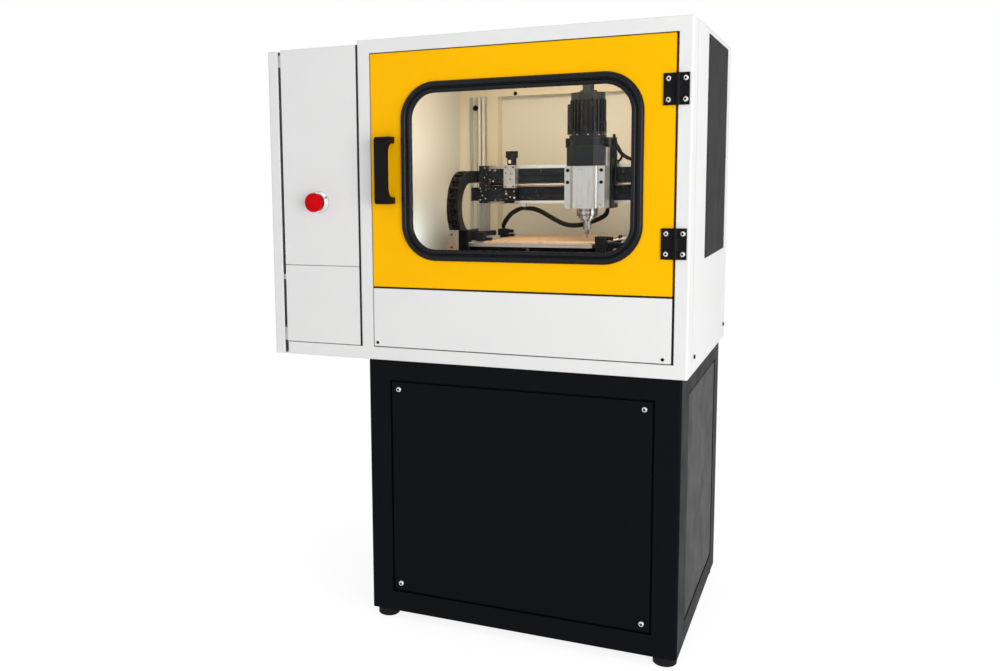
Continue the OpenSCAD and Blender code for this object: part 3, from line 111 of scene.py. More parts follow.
class Nodes:
    """The node tree of a material or world, with short calls to add and join nodes."""

    def __init__(self, owner, output="ShaderNodeOutputMaterial"):
        owner.use_nodes = True
        self.owner = owner
        self.tree = owner.node_tree
        self.tree.nodes.clear()
        self.output = self.add(output)
        self.place = None

    def add(self, kind, **values):
        """A new node. Each value is one of its settings, or one of its inputs with _ for a space."""
        node = self.tree.nodes.new(kind)
        for key, value in values.items():
            if hasattr(node, key):
                setattr(node, key, value)
            else:
                node.inputs[key.replace("_", " ")].default_value = value
        return node

    def join(self, out, into):
        self.tree.links.new(out, into)

    def coordinates(self, stretch=(1, 1, 1)):
        if self.place is None:
            self.place = self.add("ShaderNodeTexCoord").outputs["Object"]
        mapping = self.add("ShaderNodeMapping", Scale=stretch)
        self.join(self.place, mapping.inputs["Vector"])
        return mapping.outputs["Vector"]

    def noise(self, scale, detail, stretch=(1, 1, 1), rough=0.5):
        node = self.add("ShaderNodeTexNoise", Scale=scale, Detail=detail, Roughness=rough)
        self.join(self.coordinates(stretch), node.inputs["Vector"])
        return node.outputs["Fac"]

    def ramp(self, value, stops):
        """The value as a colour. Each stop is a value and its colour."""
        node = self.add("ShaderNodeValToRGB")
        elements = node.color_ramp.elements
        while len(elements) < len(stops):
            elements.new(0.5)
        for element, (place, colour) in zip(elements, stops):
            element.position = place
            element.color = (*colour, 1)
        self.join(value, node.inputs["Fac"])
        return node.outputs["Color"]

    def shade(self, value, colour, vary):
        """The colour, darker or lighter by a share as the noise falls or rises."""
        dark, bright = scaled(colour, 1 - vary), scaled(colour, 1 + vary)
        return self.ramp(value, [(NOISE_LOW, dark), (NOISE_HIGH, bright)])

    def spread(self, value, low, high):
        """A noise's value, from low to high."""
        node = self.add("ShaderNodeMapRange", From_Min=NOISE_LOW, From_Max=NOISE_HIGH,
                        To_Min=low, To_Max=high)
        self.join(value, node.inputs["Value"])
        return node.outputs["Result"]

    def mix(self, share, first, second, kind="MIX"):
        """Two colours mixed. The share and the colours are values, or outputs of other nodes."""
        node = self.add("ShaderNodeMix", data_type="RGBA", blend_type=kind)
        for key, value in (("Factor", share), ("A", first), ("B", second)):
            if isinstance(value, bpy.types.NodeSocket):
                self.join(value, node.inputs[key])
            else:
                node.inputs[key].default_value = value
        return node.outputs["Result"]

    def shader(self, **values):
        node = self.add("ShaderNodeBsdfPrincipled", **values)
        self.join(node.outputs["BSDF"], self.output.inputs["Surface"])
        return node

    def mix_shaders(self, share, first, second):
        """The tree's surface: the first shader where the share is 0, and the second where it is 1."""
        mix = self.add("ShaderNodeMixShader")
        self.join(share, mix.inputs["Fac"])
        self.join(first, mix.inputs[1])
        self.join(second, mix.inputs[2])
        self.join(mix.outputs["Shader"], self.output.inputs["Surface"])

    def round_edges(self, shader, radius, height, strength, distance):
        """Rounds the shader's edges, and raises a bump from the height."""
        bevel = self.add("ShaderNodeBevel", samples=4, Radius=radius)
        bump = self.add("ShaderNodeBump", Strength=strength, Distance=distance)
        self.join(height, bump.inputs["Height"])
        self.join(bevel.outputs["Normal"], bump.inputs["Normal"])
        self.join(bump.outputs["Normal"], shader.inputs["Normal"])

    def seen(self):
        """1 for what the camera sees, straight on, through the pane or mirrored, and 0 for other rays."""
        path = self.add("ShaderNodeLightPath")
        seen = path.outputs["Is Camera Ray"]
        for ray in ("Is Transmission Ray", "Is Glossy Ray"):
            either = self.add("ShaderNodeMath", operation="MAXIMUM")
            self.join(seen, either.inputs[0])
            self.join(path.outputs[ray], either.inputs[1])
            seen = either.outputs["Value"]
        return seen


def material_nodes(name):
    return Nodes(bpy.data.materials.new(name))


def scaled(colour, factor):
    return tuple(min(1.0, c * factor) for c in colour)


# Materials. An edge is the radius of a rounded edge in metres, and a level is how much a face mirrors.


def paint(name, colour, rough, level, vary, peel=0.12, edge=0.0015):
    """Powder coat: a fine orange peel, slow changes of shade, and rounded edges."""
    n = material_nodes(name)
    shader = n.shader(Roughness=rough, Specular_IOR_Level=level)
    n.join(n.shade(n.noise(scale=6, detail=2), colour, vary), shader.inputs["Base Color"])
    roughness = n.spread(n.noise(scale=14, detail=3), rough - 0.04, rough + 0.05)
    n.join(roughness, shader.inputs["Roughness"])
    n.round_edges(shader, edge, n.noise(scale=700, detail=2), strength=peel, distance=0.0004)
    return n.owner


def metal(name, colour, rough, stretch=(1, 1, 1), edge=0.0006, vary=0.08, bump=0.08, bare=1.0):
    """Metal whose grain runs along the axis with the smallest stretch. bare is its metallic share."""
    n = material_nodes(name)
    shader = n.shader(Metallic=bare, Roughness=rough)
    grain = n.noise(scale=160, detail=4, stretch=stretch, rough=0.65)
    n.join(n.shade(grain, colour, vary), shader.inputs["Base Color"])
    n.join(n.spread(grain, rough - 0.06, rough + 0.1), shader.inputs["Roughness"])
    n.round_edges(shader, edge, grain, strength=bump, distance=0.0003)
    return n.owner


def plastic(name, colour, rough, level, edge=0.0006, bump=0.1, vary=0.12):
    """Moulded plastic or rubber, with a fine grain."""
    n = material_nodes(name)
    shader = n.shader(Roughness=rough, Specular_IOR_Level=level)
    n.join(n.shade(n.noise(scale=30, detail=3), colour, vary), shader.inputs["Base Color"])
    roughness = n.spread(n.noise(scale=60, detail=3), rough - 0.05, rough + 0.08)
    n.join(roughness, shader.inputs["Roughness"])
    n.round_edges(shader, edge, n.noise(scale=900, detail=2), strength=bump, distance=0.0003)
    return n.owner


def dusty(name, colour, rough, dust, clean):
    """A black machine piece with fine bright chips and dust, where a noise is over the clean value."""
    n = material_nodes(name)
    shader = n.shader(Roughness=rough, Specular_IOR_Level=0.2)
    film = n.noise(scale=45, detail=5, rough=0.7)
    base = n.ramp(film, [(0.35, scaled(colour, 0.85)), (0.75, scaled(colour, 1.5))])
    specks = n.ramp(n.noise(scale=420, detail=1), [(clean, (0, 0, 0)), (clean + 0.03, (1, 1, 1))])
    n.join(n.mix(specks, base, (*dust, 1)), shader.inputs["Base Color"])
    n.join(n.spread(film, rough - 0.05, rough + 0.15), shader.inputs["Roughness"])
    n.round_edges(shader, 0.0006, film, strength=0.1, distance=0.0003)
    return n.owner


def copper_board(name):
    """Copper foil under dark and bright clouds of milling dust, with small dark marks in patches."""
    n = material_nodes(name)
    shader = n.shader(Metallic=0.35, Roughness=0.42)
    cloud = n.noise(scale=85, detail=6, rough=0.9)
    copper = n.ramp(cloud, [(0.40, (0.36, 0.15, 0.07)), (0.46, (0.97, 0.52, 0.25)),
                            (0.53, (1.0, 0.94, 0.78)), (0.58, (0.95, 0.48, 0.22))])
    cells = n.add("ShaderNodeTexVoronoi", Scale=190)
    n.join(n.coordinates(), cells.inputs["Vector"])
    unmarked = n.ramp(cells.outputs["Distance"], [(0.10, (0, 0, 0)), (0.16, (1, 1, 1))])
    outside = n.ramp(n.noise(scale=24, detail=2), [(0.42, (1, 1, 1)), (0.5, (0, 0, 0))])
    foil = n.mix(1, unmarked, outside, kind="ADD")
    n.join(n.mix(foil, (0.10, 0.06, 0.05, 1), copper), shader.inputs["Base Color"])
    n.join(n.spread(cloud, 0.3, 0.65), shader.inputs["Roughness"])
    n.round_edges(shader, 0.0002, cloud, strength=0.2, distance=0.0003)
    return n.owner


def pane(name):
    """Clear pane: mostly see-through, with a faint gloss."""
    n = material_nodes(name)
    clear = n.add("ShaderNodeBsdfTransparent", Color=(0.965, 0.975, 0.97, 1))
    gloss = n.add("ShaderNodeBsdfGlossy")
    n.join(n.spread(n.noise(scale=5, detail=2), 0.01, 0.03), gloss.inputs["Roughness"])
    fresnel = n.add("ShaderNodeFresnel", IOR=1.06)
    n.mix_shaders(fresnel.outputs["Fac"], clear.outputs["BSDF"], gloss.outputs["BSDF"])
    return n.owner


PAINTS = {
    "white_paint": dict(colour=(0.775, 0.768, 0.76), rough=0.45, level=0.2, vary=0.012, edge=0.002),
    # White paint inside the chamber: its cream tint is partly the warm light of the chamber's lamp, painted
    # in.
    "shade_white_paint": dict(colour=(0.80, 0.78, 0.72), rough=0.5, level=0.25, vary=0.02),
    "yellow_paint": dict(colour=(0.98, 0.49, 0.0), rough=0.34, level=0.04, vary=0.012, edge=0.004),
    # Cream paint: the cream is partly the warm light of the chamber's lamp, painted in.
    "beige_paint": dict(colour=(0.80, 0.73, 0.58), rough=0.5, level=0.25, vary=0.02),
    "black_paint": dict(colour=(0.0028, 0.0034, 0.0046), rough=0.52, level=0.05, vary=0.1, edge=0.003),
    "black_panel": dict(colour=(0.0025, 0.003, 0.0042), rough=0.40, level=0.05, vary=0.1, edge=0.003),
    "grey_paint": dict(colour=(0.024, 0.023, 0.024), rough=0.7, level=0.08, vary=0.02, peel=0.05),
    "black_steel": dict(colour=(0.0045, 0.0047, 0.0055), rough=0.38, level=0.08, vary=0.1, edge=0.0008),
}
METALS = {
    "stainless": dict(colour=(0.72, 0.70, 0.67), rough=0.24, edge=0.0004),
    "satin_chrome": dict(colour=(0.76, 0.76, 0.77), rough=0.2, vary=0.03),
    "aluminium": dict(colour=(0.66, 0.65, 0.62), rough=0.36, stretch=(1, 0.06, 1), vary=0.1),
    "pale_aluminium": dict(colour=(0.47, 0.475, 0.48), rough=0.3, stretch=(1, 1, 0.05), vary=0.12, bare=0.6),
    "ground_steel": dict(colour=(0.30, 0.285, 0.28), rough=0.2, stretch=(0.03, 0.03, 1), vary=0.55,
                         bump=0.05),
}
PLASTICS = {
    "foot_rubber": dict(colour=(0.006, 0.006, 0.006), rough=0.7, level=0.15),
    "gasket_rubber": dict(colour=(0.004, 0.0046, 0.0065), rough=0.28, level=0.17, edge=0.001, bump=0.04),
    "handle_black": dict(colour=(0.004, 0.004, 0.005), rough=0.34, level=0.07, edge=0.002, bump=0.08),
    "red_plastic": dict(colour=(0.60, 0.0, 0.001), rough=0.24, level=0.05, edge=0.002, bump=0.02, vary=0.04),
    "black_plastic": dict(colour=(0.010, 0.010, 0.011), rough=0.45, level=0.2),
    "chain_plastic": dict(colour=(0.010, 0.010, 0.011), rough=0.42, level=0.25, edge=0.0008),
    "cable_rubber": dict(colour=(0.007, 0.007, 0.008), rough=0.5, level=0.2),
}
LOOKS = {
    **{name: paint(name, **look) for name, look in PAINTS.items()},
    **{name: metal(name, **look) for name, look in METALS.items()},
    **{name: plastic(name, **look) for name, look in PLASTICS.items()},
    "black_anodised": dusty("black_anodised", colour=(0.009, 0.0115, 0.016), rough=0.38,
                            dust=(0.5, 0.41, 0.31), clean=0.725),
    "copper_clad": copper_board("copper_clad"),
    "clear_pane": pane("clear_pane"),
}
SLOT_OF = {s["node"]: s["material_slot"] for s in frame["record"]["subparts"]}


def dress_nodes():
    for name, obj in nodes.items():
        obj.data.materials.clear()
        obj.data.materials.append(LOOKS[SLOT_OF[name]])


dress_nodes()

# Mesh helpers

# How deep a stud's foot sits in its face, in metres
STUD_SINK = 0.0002
# A wrapped cable is thinnest at every so many of its rings
RIDGE_RINGS = 4
# How far a cable's thinner end reaches along it, in metres
WAIST_LENGTH = 0.012


def new_piece(name, mesh, body, slot, smooth):
    """A piece of the object in its slot's look, which rides on the body if one is given."""
    obj = bpy.data.objects.new(name, mesh)
    scene.collection.objects.link(obj)
    mesh.materials.append(LOOKS[slot])
    for polygon in mesh.polygons:
        polygon.use_smooth = smooth
    if body:
        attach(obj, body)
    return obj


def mesh_of(name, bm):
    """A mesh of what was built in bm, which is then freed."""
    mesh = bpy.data.meshes.new(name)
    bm.to_mesh(mesh)
    bm.free()
    return mesh


def mesh_piece(name, body, slot, build, smooth=False):
    """One piece of what build(bm) adds to an empty mesh."""
    bm = bmesh.new()
    build(bm)
    bmesh.ops.recalc_face_normals(bm, faces=bm.faces)
    return new_piece(name, mesh_of(name, bm), body, slot, smooth)


def seat(place, facing):
    """What seats a form that stands on zero along +Z at a place in millimetres, turned to face a way."""
    turn = Vector(UP).rotation_difference(Vector(facing)).to_matrix().to_4x4()
    return Matrix.Translation(mm(*place)) @ turn


def ring_points(radius, height, sides):
    return [Vector((radius * math.cos(a), radius * math.sin(a), height))
            for a in (2 * math.pi * k / sides for k in range(sides))]


def join_rings(bm, rings):
    """Faces from each ring of vertices to the next. A ring of one vertex is a tip."""
    for low, high in zip(rings, rings[1:]):
        sides = max(len(low), len(high))
        for k in range(sides):
            m = (k + 1) % sides
            if len(low) == 1:
                bm.faces.new((low[0], high[m], high[k]))
            elif len(high) == 1:
                bm.faces.new((low[k], low[m], high[0]))
            else:
                bm.faces.new((low[k], low[m], high[m], high[k]))


def add_lathe(bm, profile, place, sides):
    """Adds a closed lathe form: its profile is (radius, height) from its base up, in metres."""
    rings = []
    for radius, height in profile:
        points = ring_points(radius, height, sides if radius else 1)
        rings.append([bm.verts.new(place @ p) for p in points])
    join_rings(bm, rings)


def add_cap_screw(bm, place, d, h):
    """Adds a socket head cap screw with a hexagon recess. Its seat is at the place's origin."""
    sides = 24
    r, rim, shoulder = d / 2, d / 2 * 0.9, h * 0.86
    key, depth = d * 0.29, h * 0.55
    hexagon = []
    for k in range(sides):
        a = 2 * math.pi * k / sides
        reach = key / math.cos((a + math.pi / 6) % (math.pi / 3) - math.pi / 6)
        hexagon.append(Vector((reach * math.cos(a), reach * math.sin(a), h)))
    floor = [p - Vector((0, 0, depth)) for p in hexagon]
    outlines = [ring_points(r, 0, sides), ring_points(r, shoulder, sides), ring_points(rim, h, sides),
                hexagon, floor]
    rings = [[bm.verts.new(place @ p) for p in points] for points in outlines]
    join_rings(bm, rings)
    bm.faces.new(rings[-1])
    bm.faces.new(list(reversed(rings[0])))


def screws(name, body, slot, places, d, h, facing):
    """One piece with a cap screw at each place, in millimetres, all facing the same way."""
    bm = bmesh.new()
    for place in places:
        add_cap_screw(bm, seat(place, facing), d / 1000, h / 1000)
    return new_piece(name, mesh_of(name, bm), body, slot, smooth=False)


def studs(name, body, slot, places, h, d=None, facing=FRONT):
    """One piece of small domed heads, in millimetres. Without d, each place ends with its own diameter."""
    def build(bm):
        top = h / 1000
        for x, y, z, *own in places:
            r = (own[0] if d is None else d) / 2000
            profile = [(0, -STUD_SINK), (r, -STUD_SINK), (r, top * 0.45), (r * 0.72, top * 0.85), (0, top)]
            add_lathe(bm, profile, seat((x, y, z), facing), 16)
    return mesh_piece(name, body, slot, build)


def on_face(y, heads):
    """Places on a face that looks to the front. Each head is its x, its z and its diameter."""
    return [(x, y, z, d) for x, z, d in heads]


def blocks(name, body, slot, ranges, ease):
    """One piece of blocks with eased edges: each is its ranges along X, Y and Z in millimetres."""
    def build(bm):
        for x, y, z in ranges:
            low, high = mm(x[0], y[0], z[0]), mm(x[1], y[1], z[1])
            corners = bmesh.ops.create_cube(bm, size=1)["verts"]
            for vert in corners:
                vert.co = Vector([a + (c + 0.5) * (b - a) for a, b, c in zip(low, high, vert.co)])
            edges = list({edge for vert in corners for edge in vert.link_edges})
            offset = min(ease / 1000, min(high - low) * 0.3)
            bmesh.ops.bevel(bm, geom=edges, offset=offset, segments=2, profile=0.7, affect="EDGES")
    return mesh_piece(name, body, slot, build)


def spline(points, steps):
    """A smooth line through the points."""
    line = []
    last = len(points) - 1
    for i in range(last):
        a, b = points[max(i - 1, 0)], points[i]
        c, d = points[i + 1], points[min(i + 2, last)]
        for k in range(steps):
            t = k / steps
            line.append(0.5 * (2 * b + (c - a) * t + (2 * a - 5 * b + 4 * c - d) * t * t
                               + (3 * b - a - 3 * c + d) * t ** 3))
    line.append(points[-1])
    return line


def even(line, step):
    """The line's points again, an even step apart."""
    out, carry = [line[0]], 0.0
    for a, b in zip(line, line[1:]):
        length = (b - a).length
        while carry + length >= step:
            t = (step - carry) / length
            a = a.lerp(b, t)
            out.append(a)
            length = (b - a).length
            carry = 0.0
        carry += length
    if (out[-1] - line[-1]).length > step * 0.3:
        out.append(line[-1])
    return out


def tube(name, route, slot, radius, ridge=0.0, step=0.0015, sides=16, waist=0.0):
    """A cable along a route, both in millimetres, with a ring of vertices at each step, in metres.

    ridge is how far its wrapping stands proud, and waist how much thinner it is at its ends, as shares.
    """
    line = even(spline([mm(*p) for p in route], 12), step)
    last = len(line) - 1

    def build(bm):
        rings = []
        side = Vector((0, 1, 0))
        for i, p in enumerate(line):
            along = (line[min(i + 1, last)] - line[max(i - 1, 0)]).normalized()
            side = (side - along * side.dot(along)).normalized()
            other = along.cross(side)
            from_end = step * min(i, last - i)
            r = radius / 1000 * (1 - ridge * (0.5 + 0.5 * math.cos(2 * math.pi * i / RIDGE_RINGS)))
            r *= 1 - waist * math.exp(-(from_end / WAIST_LENGTH) ** 2)
            rings.append([bm.verts.new(p + r * (math.cos(a) * side + math.sin(a) * other))
                          for a in (2 * math.pi * k / sides for k in range(sides))])
        join_rings(bm, rings)
        bm.faces.new(list(reversed(rings[0])))
        bm.faces.new(rings[-1])
    return mesh_piece(name, None, slot, build, smooth=True)


# Stage, world and lamps

FLOOR_REACH = 12
FLOOR_GREY = 0.9
# The floor's own glow, and its share of the floor where the camera sees it
FLOOR_GLOW, FLOOR_GLOW_SHARE = 1.2, 0.72
WORLD_TINT, WORLD_STRENGTH = (0.97, 0.985, 1, 1), 0.55


def add_stage():
    """A pale floor that takes the object's shadow, brightened by a glow where the camera sees it."""
    n = material_nodes("stage_white")
    diffuse = n.add("ShaderNodeBsdfDiffuse", Color=(FLOOR_GREY, FLOOR_GREY, FLOOR_GREY, 1))
    glow = n.add("ShaderNodeEmission", Strength=FLOOR_GLOW)
    share = n.add("ShaderNodeMath", operation="MULTIPLY")
    n.join(n.seen(), share.inputs[0])
    share.inputs[1].default_value = FLOOR_GLOW_SHARE
    n.mix_shaders(share.outputs["Value"], diffuse.outputs["BSDF"], glow.outputs["Emission"])
    mesh = bpy.data.meshes.new("floor")
    r = FLOOR_REACH
    mesh.from_pydata([(-r, -r, 0), (r, -r, 0), (r, r, 0), (-r, r, 0)], [], [(0, 1, 2, 3)])
    mesh.materials.append(n.owner)
    floor = bpy.data.objects.new("floor", mesh)
    scene.collection.objects.link(floor)


def add_world():
    """White where the camera sees it, and a softer, faintly blue light for the object."""
    n = Nodes(bpy.data.worlds.new("world"), "ShaderNodeOutputWorld")
    white = n.add("ShaderNodeBackground", Color=(1, 1, 1, 1))
    light = n.add("ShaderNodeBackground", Color=WORLD_TINT, Strength=WORLD_STRENGTH)
    n.mix_shaders(n.seen(), light.outputs["Background"], white.outputs["Background"])
    scene.world = n.owner


def add_lamp(name, place, target, size, power, colour=(1, 1, 1), spread=180):
    """An area lamp turned to its target, in metres, watts and degrees."""
    data = bpy.data.lights.new(name, "AREA")
    data.shape = "RECTANGLE"
    data.size, data.size_y = size
    data.energy = power
    data.color = colour
    data.spread = math.radians(spread)
    lamp = bpy.data.objects.new(name, data)
    scene.collection.objects.link(lamp)
    lamp.location = place
    lamp.rotation_euler = (Vector(target) - Vector(place)).to_track_quat("-Z", "Y").to_euler()


def add_lamps():
    """Four studio lamps round the object, and three small ones inside the enclosure."""
    middle = (0, 0, 0.8)
    add_lamp("key_lamp", (2.9, -2.9, 1.0), middle, size=(2.4, 2.0), power=75)
    add_lamp("fill_lamp", (-1.8, -3.8, 1.2), middle, size=(3, 2.4), power=16)
    add_lamp("top_lamp", (0.1, 0.1, 3.0), (0.1, 0.1, 0.9), size=(1.8, 1.3), power=9)
    add_lamp("side_lamp", (3.8, -0.4, 1.7), middle, size=(2.4, 3), power=26)
    add_lamp("chamber_lamp", mm(395, 200, 652), mm(395, 420, 160), size=(0.4, 0.08), power=1.52,
             colour=(1, 0.80, 0.53))
    add_lamp("window_lamp", mm(646, 190, 420), mm(150, 200, 330), size=(0.10, 0.36), power=0.42,
             colour=(0.93, 0.97, 1))
    add_lamp("wall_lamp", mm(125, 95, 205), mm(29, 305, 272), size=(0.05, 0.05), power=0.07,
             colour=(0.88, 0.95, 1), spread=55)


add_stage()
add_world()
add_lamps()

# Cables and the drag chain, in place of the CAD's own pieces, which are hidden

HEAD_ROUTE = [(464, 350, 320.4), (464, 350, 316), (462, 351, 309), (454, 354.5, 301), (430, 358, 290),
              (394, 360, 280), (362, 360, 282), (330, 360, 297), (305, 360, 311), (285, 360, 318),
              (272, 360, 319), (266, 360, 319), (263, 360, 319)]
PROBE_ROUTE = [(261, 360, 319), (255, 360, 318.7), (247, 362, 316.5), (238, 365, 312.5),
               (229, 368, 307.5), (220, 374, 300.5), (211.6, 380, 292.5), (204, 387, 284),
               (199, 394, 277.5), (196.8, 399, 273.8), (196, 402, 271), (196, 402, 268.6)]
SIDE_ROUTE = [(480.3, 330, 462), (484.8, 330, 461), (489.5, 333, 455), (494, 338, 447.5),
              (500, 344, 440.5), (508, 349, 434.5), (517, 353.5, 431), (526, 356.5, 429.5),
              (532.5, 358, 428), (535, 358, 425.5), (535, 358, 422.6)]
# The chain's bend, how far behind its middle the two runs end, and where the cables lie across the chain
CHAIN_MIDDLE = Vector((0, 285, 325))
CHAIN_RADIUS = 71
CHAIN_TOP_END, CHAIN_LOW_END = 45, 115
CHAIN_CABLES = (132.2, 138.8, 145.4)
BEND_STEPS = 12


def add_cables():
    head = tube("head_cable", HEAD_ROUTE, "cable_rubber", radius=5.9, ridge=0.12, waist=0.2)
    side = tube("side_cable", SIDE_ROUTE, "cable_rubber", radius=4.3, ridge=0.08, waist=0.2)
    probe = tube("probe_sleeve", PROBE_ROUTE, "cable_rubber", radius=5.9, ridge=0.12, waist=0.2)
    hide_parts("carriage_cables")
    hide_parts("carriage_cables")
    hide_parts("probe_cable")
    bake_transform(head)
    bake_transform(side)
    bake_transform(probe)


def chain_line():
    """The chain's middle line: its top run, its bend and its low run."""
    bend = [CHAIN_MIDDLE + CHAIN_RADIUS * Vector((0, -math.sin(a), math.cos(a)))
            for a in (math.pi * k / BEND_STEPS for k in range(BEND_STEPS + 1))]
    start = CHAIN_MIDDLE + Vector((0, CHAIN_TOP_END, CHAIN_RADIUS))
    end = CHAIN_MIDDLE + Vector((0, CHAIN_LOW_END, -CHAIN_RADIUS))
    return [start, *bend, end]


def add_chain():
    mesh = nodes["drag_chain"].data.copy()
    mesh.materials.clear()
    chain = new_piece("drag_chain_links", mesh, None, "chain_plastic", smooth=False)
    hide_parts("drag_chain")
    filling = [tube(f"chain_cable_{n}", [p + Vector((x, 0, 0)) for p in chain_line()], "cable_rubber",
                    radius=3.3, step=0.004, sides=10) for n, x in enumerate(CHAIN_CABLES)]
    for piece in [chain] + filling:
        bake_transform(piece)


add_cables()
add_chain()

# Screws and small pieces that the CAD frame leaves out, black strips and discs that paint the shade in seams,
# recesses and holes, and bright caps that paint glints

SPINDLE_X, SPINDLE_Y = 434, 280
BED_TOP, RAIL_TOP = 248, 238
MOTOR_RING_TOP = 485
# How far the edges of the black strips that paint the seams' shade are eased, in millimetres
SEAM_STRIP_EASE = 0.1


def add_screws():
    black = "black_steel"
    screws("flange_screws", "head", black,
           [(SPINDLE_X + s * 37.7, 250, z) for s in (-1, 1) for z in (407.5, 381)], d=7.5, h=3, facing=FRONT)
    screws("mount_screws", "head", black,
           [(SPINDLE_X + s * 44, 272, z) for s in (-1, 1) for z in (463, 474)], d=4, h=2, facing=FRONT)
    screws("bed_screws", "machine", "stainless",
           [(x, y, BED_TOP) for x in (192, 462) for y in (180, 507)], d=6, h=1.6, facing=UP)
    screws("rail_screws", "machine", "stainless",
           [(x, y, RAIL_TOP) for x in (168, 535) for y in range(160, 326, 40)], d=5, h=0.2, facing=UP)
    screws("bracket_screws", "machine", black,
           [(161, 140, z) for z in (240, 268)], d=4.5, h=2, facing=FRONT)


def add_seam_shades():
    """Black strips deep in the seams round the door and the panels, which paint the shade in the seams."""
    rubber = "gasket_rubber"
    opening_x = (29.05, 673.4)
    frame_z, door_z, panel_z = (158.2, 661.9), (162.5, 659.5), (28.1, 158)
    door_x, door_y, panel_y = (31.5, 668), (3, 17.8), (2.2, 16)
    blocks("door_frame_seam_shade", "machine", rubber,
           [((29.05, 29.9), (3, 20), frame_z), ((672.4, 673.45), (6, 20), frame_z),
            (opening_x, (3, 20), (661.1, 661.95)), (opening_x, (3, 19.8), (158.1, 160.8))], ease=SEAM_STRIP_EASE)
    # On the door, black strips cover its side faces behind the front edge and paint the shade that falls
    # there.
    blocks("door_edge_seam_shade", "door", rubber,
           [((30.3, 30.98), door_y, door_z), ((668.52, 669.3), (8, 17.8), door_z),
            (door_x, door_y, (660.02, 660.7)), (door_x, door_y, (161.3, 161.98))], ease=SEAM_STRIP_EASE)
    blocks("lower_panel_seam_shade", "machine", rubber,
           [((29.05, 30.9), panel_y, panel_z), ((670.8, 673.4), panel_y, panel_z),
            ((668.6, 671), (12, 16), panel_z), (opening_x, panel_y, (28.1, 29.9))], ease=SEAM_STRIP_EASE)
    blocks("control_seam_shade", "machine", rubber,
           [((-3.9, -0.1), (1.6, 15.5), (29.6, 681.8)), ((-189.8, -0.1), (1.6, 15.5), (28.1, 29.4)),
            ((-189.8, -4.1), (0.8, 15.5), (204.06, 204.94))], ease=SEAM_STRIP_EASE)


def add_case_details():
    """Black discs that paint the shade in the bright screws' recesses, bright caps that paint glints on the
    black ones, and the side's seam.
    """
    dark = "gasket_rubber"
    # Black discs in the hexagon recesses of the hinge and stand screws paint the shade inside them.
    rows = [hinge + end for hinge in (234, 526) for end in (10.5, 49.5)]
    studs("frame_hinge_socket_shades", "machine", dark, [(686.5, -3.95, z) for z in rows], h=0.5, d=5)
    studs("door_hinge_socket_shades", "door", dark, [(655.64, -3.95, z) for z in rows], h=0.5, d=5)
    studs("stand_socket_shades", "machine", dark,
          [(x, 5.5, z) for x in (85, 618.5) for z in (-510.5, -65.5)], h=0.7, d=6)
    # Bright stainless caps on the side plate's black screws paint the glints that show on them.
    studs("plate_screw_glints", "machine", "stainless",
          [(701.6, y, z) for y in (217, 508) for z in (233, 434, 667)], h=1.38, d=5.4, facing=RIGHT)
    blocks("side_seam", "machine", dark, [((699.4, 700.04), (54.4, 55.5), (3, 687))], ease=SEAM_STRIP_EASE)


def add_gantry_details():
    """Heads, nuts and small blocks on the beam's left end, and black discs that paint the shade in its holes,
    as they show through the window.
    """
    studs("end_block_heads", "gantry", "stainless",
          on_face(328, [(172.9, 416.6, 4), (172.8, 394.1, 3), (177, 374.9, 3.4), (161.8, 368.2, 3.6),
                        (163.5, 361, 2.6), (176.4, 364, 2.6), (167.5, 351.7, 3.4), (175.8, 343.4, 4),
                        (162.4, 340.7, 4.2)]), h=0.9)
    studs("drive_box_heads", "gantry", "ground_steel",
          on_face(324, [(187.6, 411, 5), (200.5, 410, 6), (195.1, 384.5, 5.4), (219.5, 389.5, 3.4),
                        (187.9, 389, 3.4), (187.9, 383.5, 3.4), (201.5, 367, 3.6), (201.5, 339.8, 4.6),
                        (213, 340.5, 3.2)]), h=1.1)
    blocks("drive_nut", "gantry", "black_anodised",
           [((224.6, 251), (326, 344.6), (338.5, 364.5)), ((229, 246), (323.5, 326.2), (341, 350))], ease=0.8)
    studs("drive_nut_heads", "gantry", "stainless",
          [(226.8, 326, 361.2, 4), (227.5, 326, 355, 5.6), (247.2, 326, 360.8, 4), (238.6, 323.5, 347.4, 3.4),
           (247.4, 326, 345.3, 5), (227, 326, 343.3, 3)], h=1.2)
    blocks("beam_clamps", "gantry", "ground_steel",
           [((217.5, 223), (327, 344.5), (331.6, 336.6)),
            ((247.5, 253), (327, 344.5), (333.2, 337.6))], ease=0.6)
    blocks("drive_tie", "gantry", "black_anodised", [((223.6, 247), (330, 344.5), (332.6, 337.8))], ease=0.6)
    # Black discs on the bearing block paint the shade inside its holes.
    studs("bearing_block_hole_shades", "gantry", "black_steel",
          on_face(318, [(229, 416.8, 3.8), (247, 416.8, 4.6), (229, 404, 3.2), (229, 372, 3.4),
                        (247, 372, 4.2)])
          + on_face(319, [(246, 397.5, 6.6), (239.5, 380.2, 6.8)]), h=0.3)
    blocks("lock_mark", "lock_knob", "beige_paint", [((233, 239.4), (326.7, 329), (426, 434.4))], ease=0.5)


def hanging_lead(x, y, sway, top, end):
    """The route of a lead that hangs down in small waves: sway is their reach along X."""
    wave, reach, step = 9, 0.8, 6
    return [(x + sway * math.sin(z / wave), y + reach * math.cos(z / wave), z)
            for z in range(top, end, -step)]


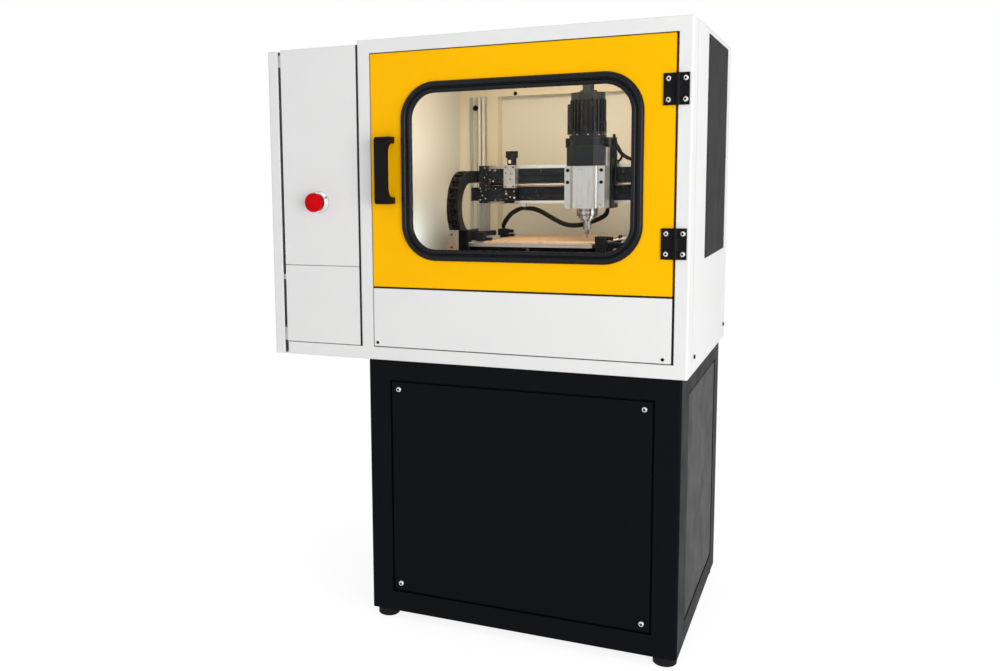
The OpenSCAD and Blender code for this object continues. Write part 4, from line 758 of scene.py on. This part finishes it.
def add_head_details():
    """The plate's silver edges beside the mount, the motor's heads and the cables down the carriage."""
    blocks("plate_wings", "head", "aluminium",
           [((x, x + 3.1), (267, 298.6), (417.4, 457.6)) for x in (388.2, 476.7)], ease=0.4)
    turns = [math.radians(t) for t in (-62, -24, 14, 52, 90, 128, -100, -138)]
    studs("motor_ring_heads", "head", "stainless",
          [(SPINDLE_X + 38 * math.sin(a), SPINDLE_Y - 38 * math.cos(a), MOTOR_RING_TOP) for a in turns],
          h=1.6, d=4.6, facing=UP)
    studs("block_pins", "head", "black_steel",
          [(425.5, 240, 409.3), (429.7, 240, 409.2), (425.5, 240, 330.1)], h=0.2, d=2)
    rubber = "cable_rubber"
    front = hanging_lead(485.6, 327, sway=1.2, top=478, end=372)
    rear = hanging_lead(484.6, 334, sway=-1.2, top=474, end=384)
    loop = [(485, 331, 470), (491, 336, 458), (496, 342, 446), (496.5, 345, 438), (492.5, 346, 430),
            (487, 346, 426)]
    leads = [tube("carriage_lead", front, rubber, radius=3.1, ridge=0.15),
             tube("carriage_lead_rear", rear, rubber, radius=2.7, ridge=0.15),
             tube("carriage_loop", loop, rubber, radius=2.8, ridge=0.1)]
    for lead in leads:
        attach(lead, "carriage")
    knob = [(0, 0), (0.0026, 0), (0.0034, 0.002), (0.0036, 0.0045), (0.0026, 0.0072), (0, 0.0082)]
    mesh_piece("lead_clamp_knob", "carriage", "black_plastic",
               lambda bm: add_lathe(bm, knob, seat((483.5, 321, 479.8), UP), 20), smooth=True)


def add_bed_details():
    """The jaw, stop and lever beside the board, and what shows on the chamber's back wall and ceiling."""
    blocks("clamp_jaw", "machine", "pale_aluminium", [((207.3, 221.6), (247, 284), (248.2, 258.4))], ease=0.8)
    blocks("bed_stop", "machine", "stainless", [((183.6, 193), (205, 222), (248.1, 251))], ease=0.5)
    lever = [(497.2, 204, 251.5), (506, 204, 253.5), (518, 204, 256.5), (536, 204, 261)]
    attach(tube("clamp_lever", lever, "aluminium", radius=3.6, sides=8), "machine")
    studs("lever_knob", "machine", "black_plastic", [(525, 204, 262)], h=6, d=9, facing=UP)
    # White strips on the aluminium corner profile paint the bright light on its faces.
    blocks("profile_highlight_strips", "machine", "shade_white_paint",
           [(x, (532.5, 533.2), (161, 599)) for x in ((84.5, 91), (94.5, 101))], ease=0.2)
    studs("grommet", "machine", "gasket_rubber", [(77, 533, 572.5)], h=3.5, d=14.5)
    studs("ceiling_screw", "machine", "black_steel", [(180.7, 545, 606)], h=3, d=10)


add_screws()
add_seam_shades()
add_case_details()
add_gantry_details()
add_head_details()
add_bed_details()
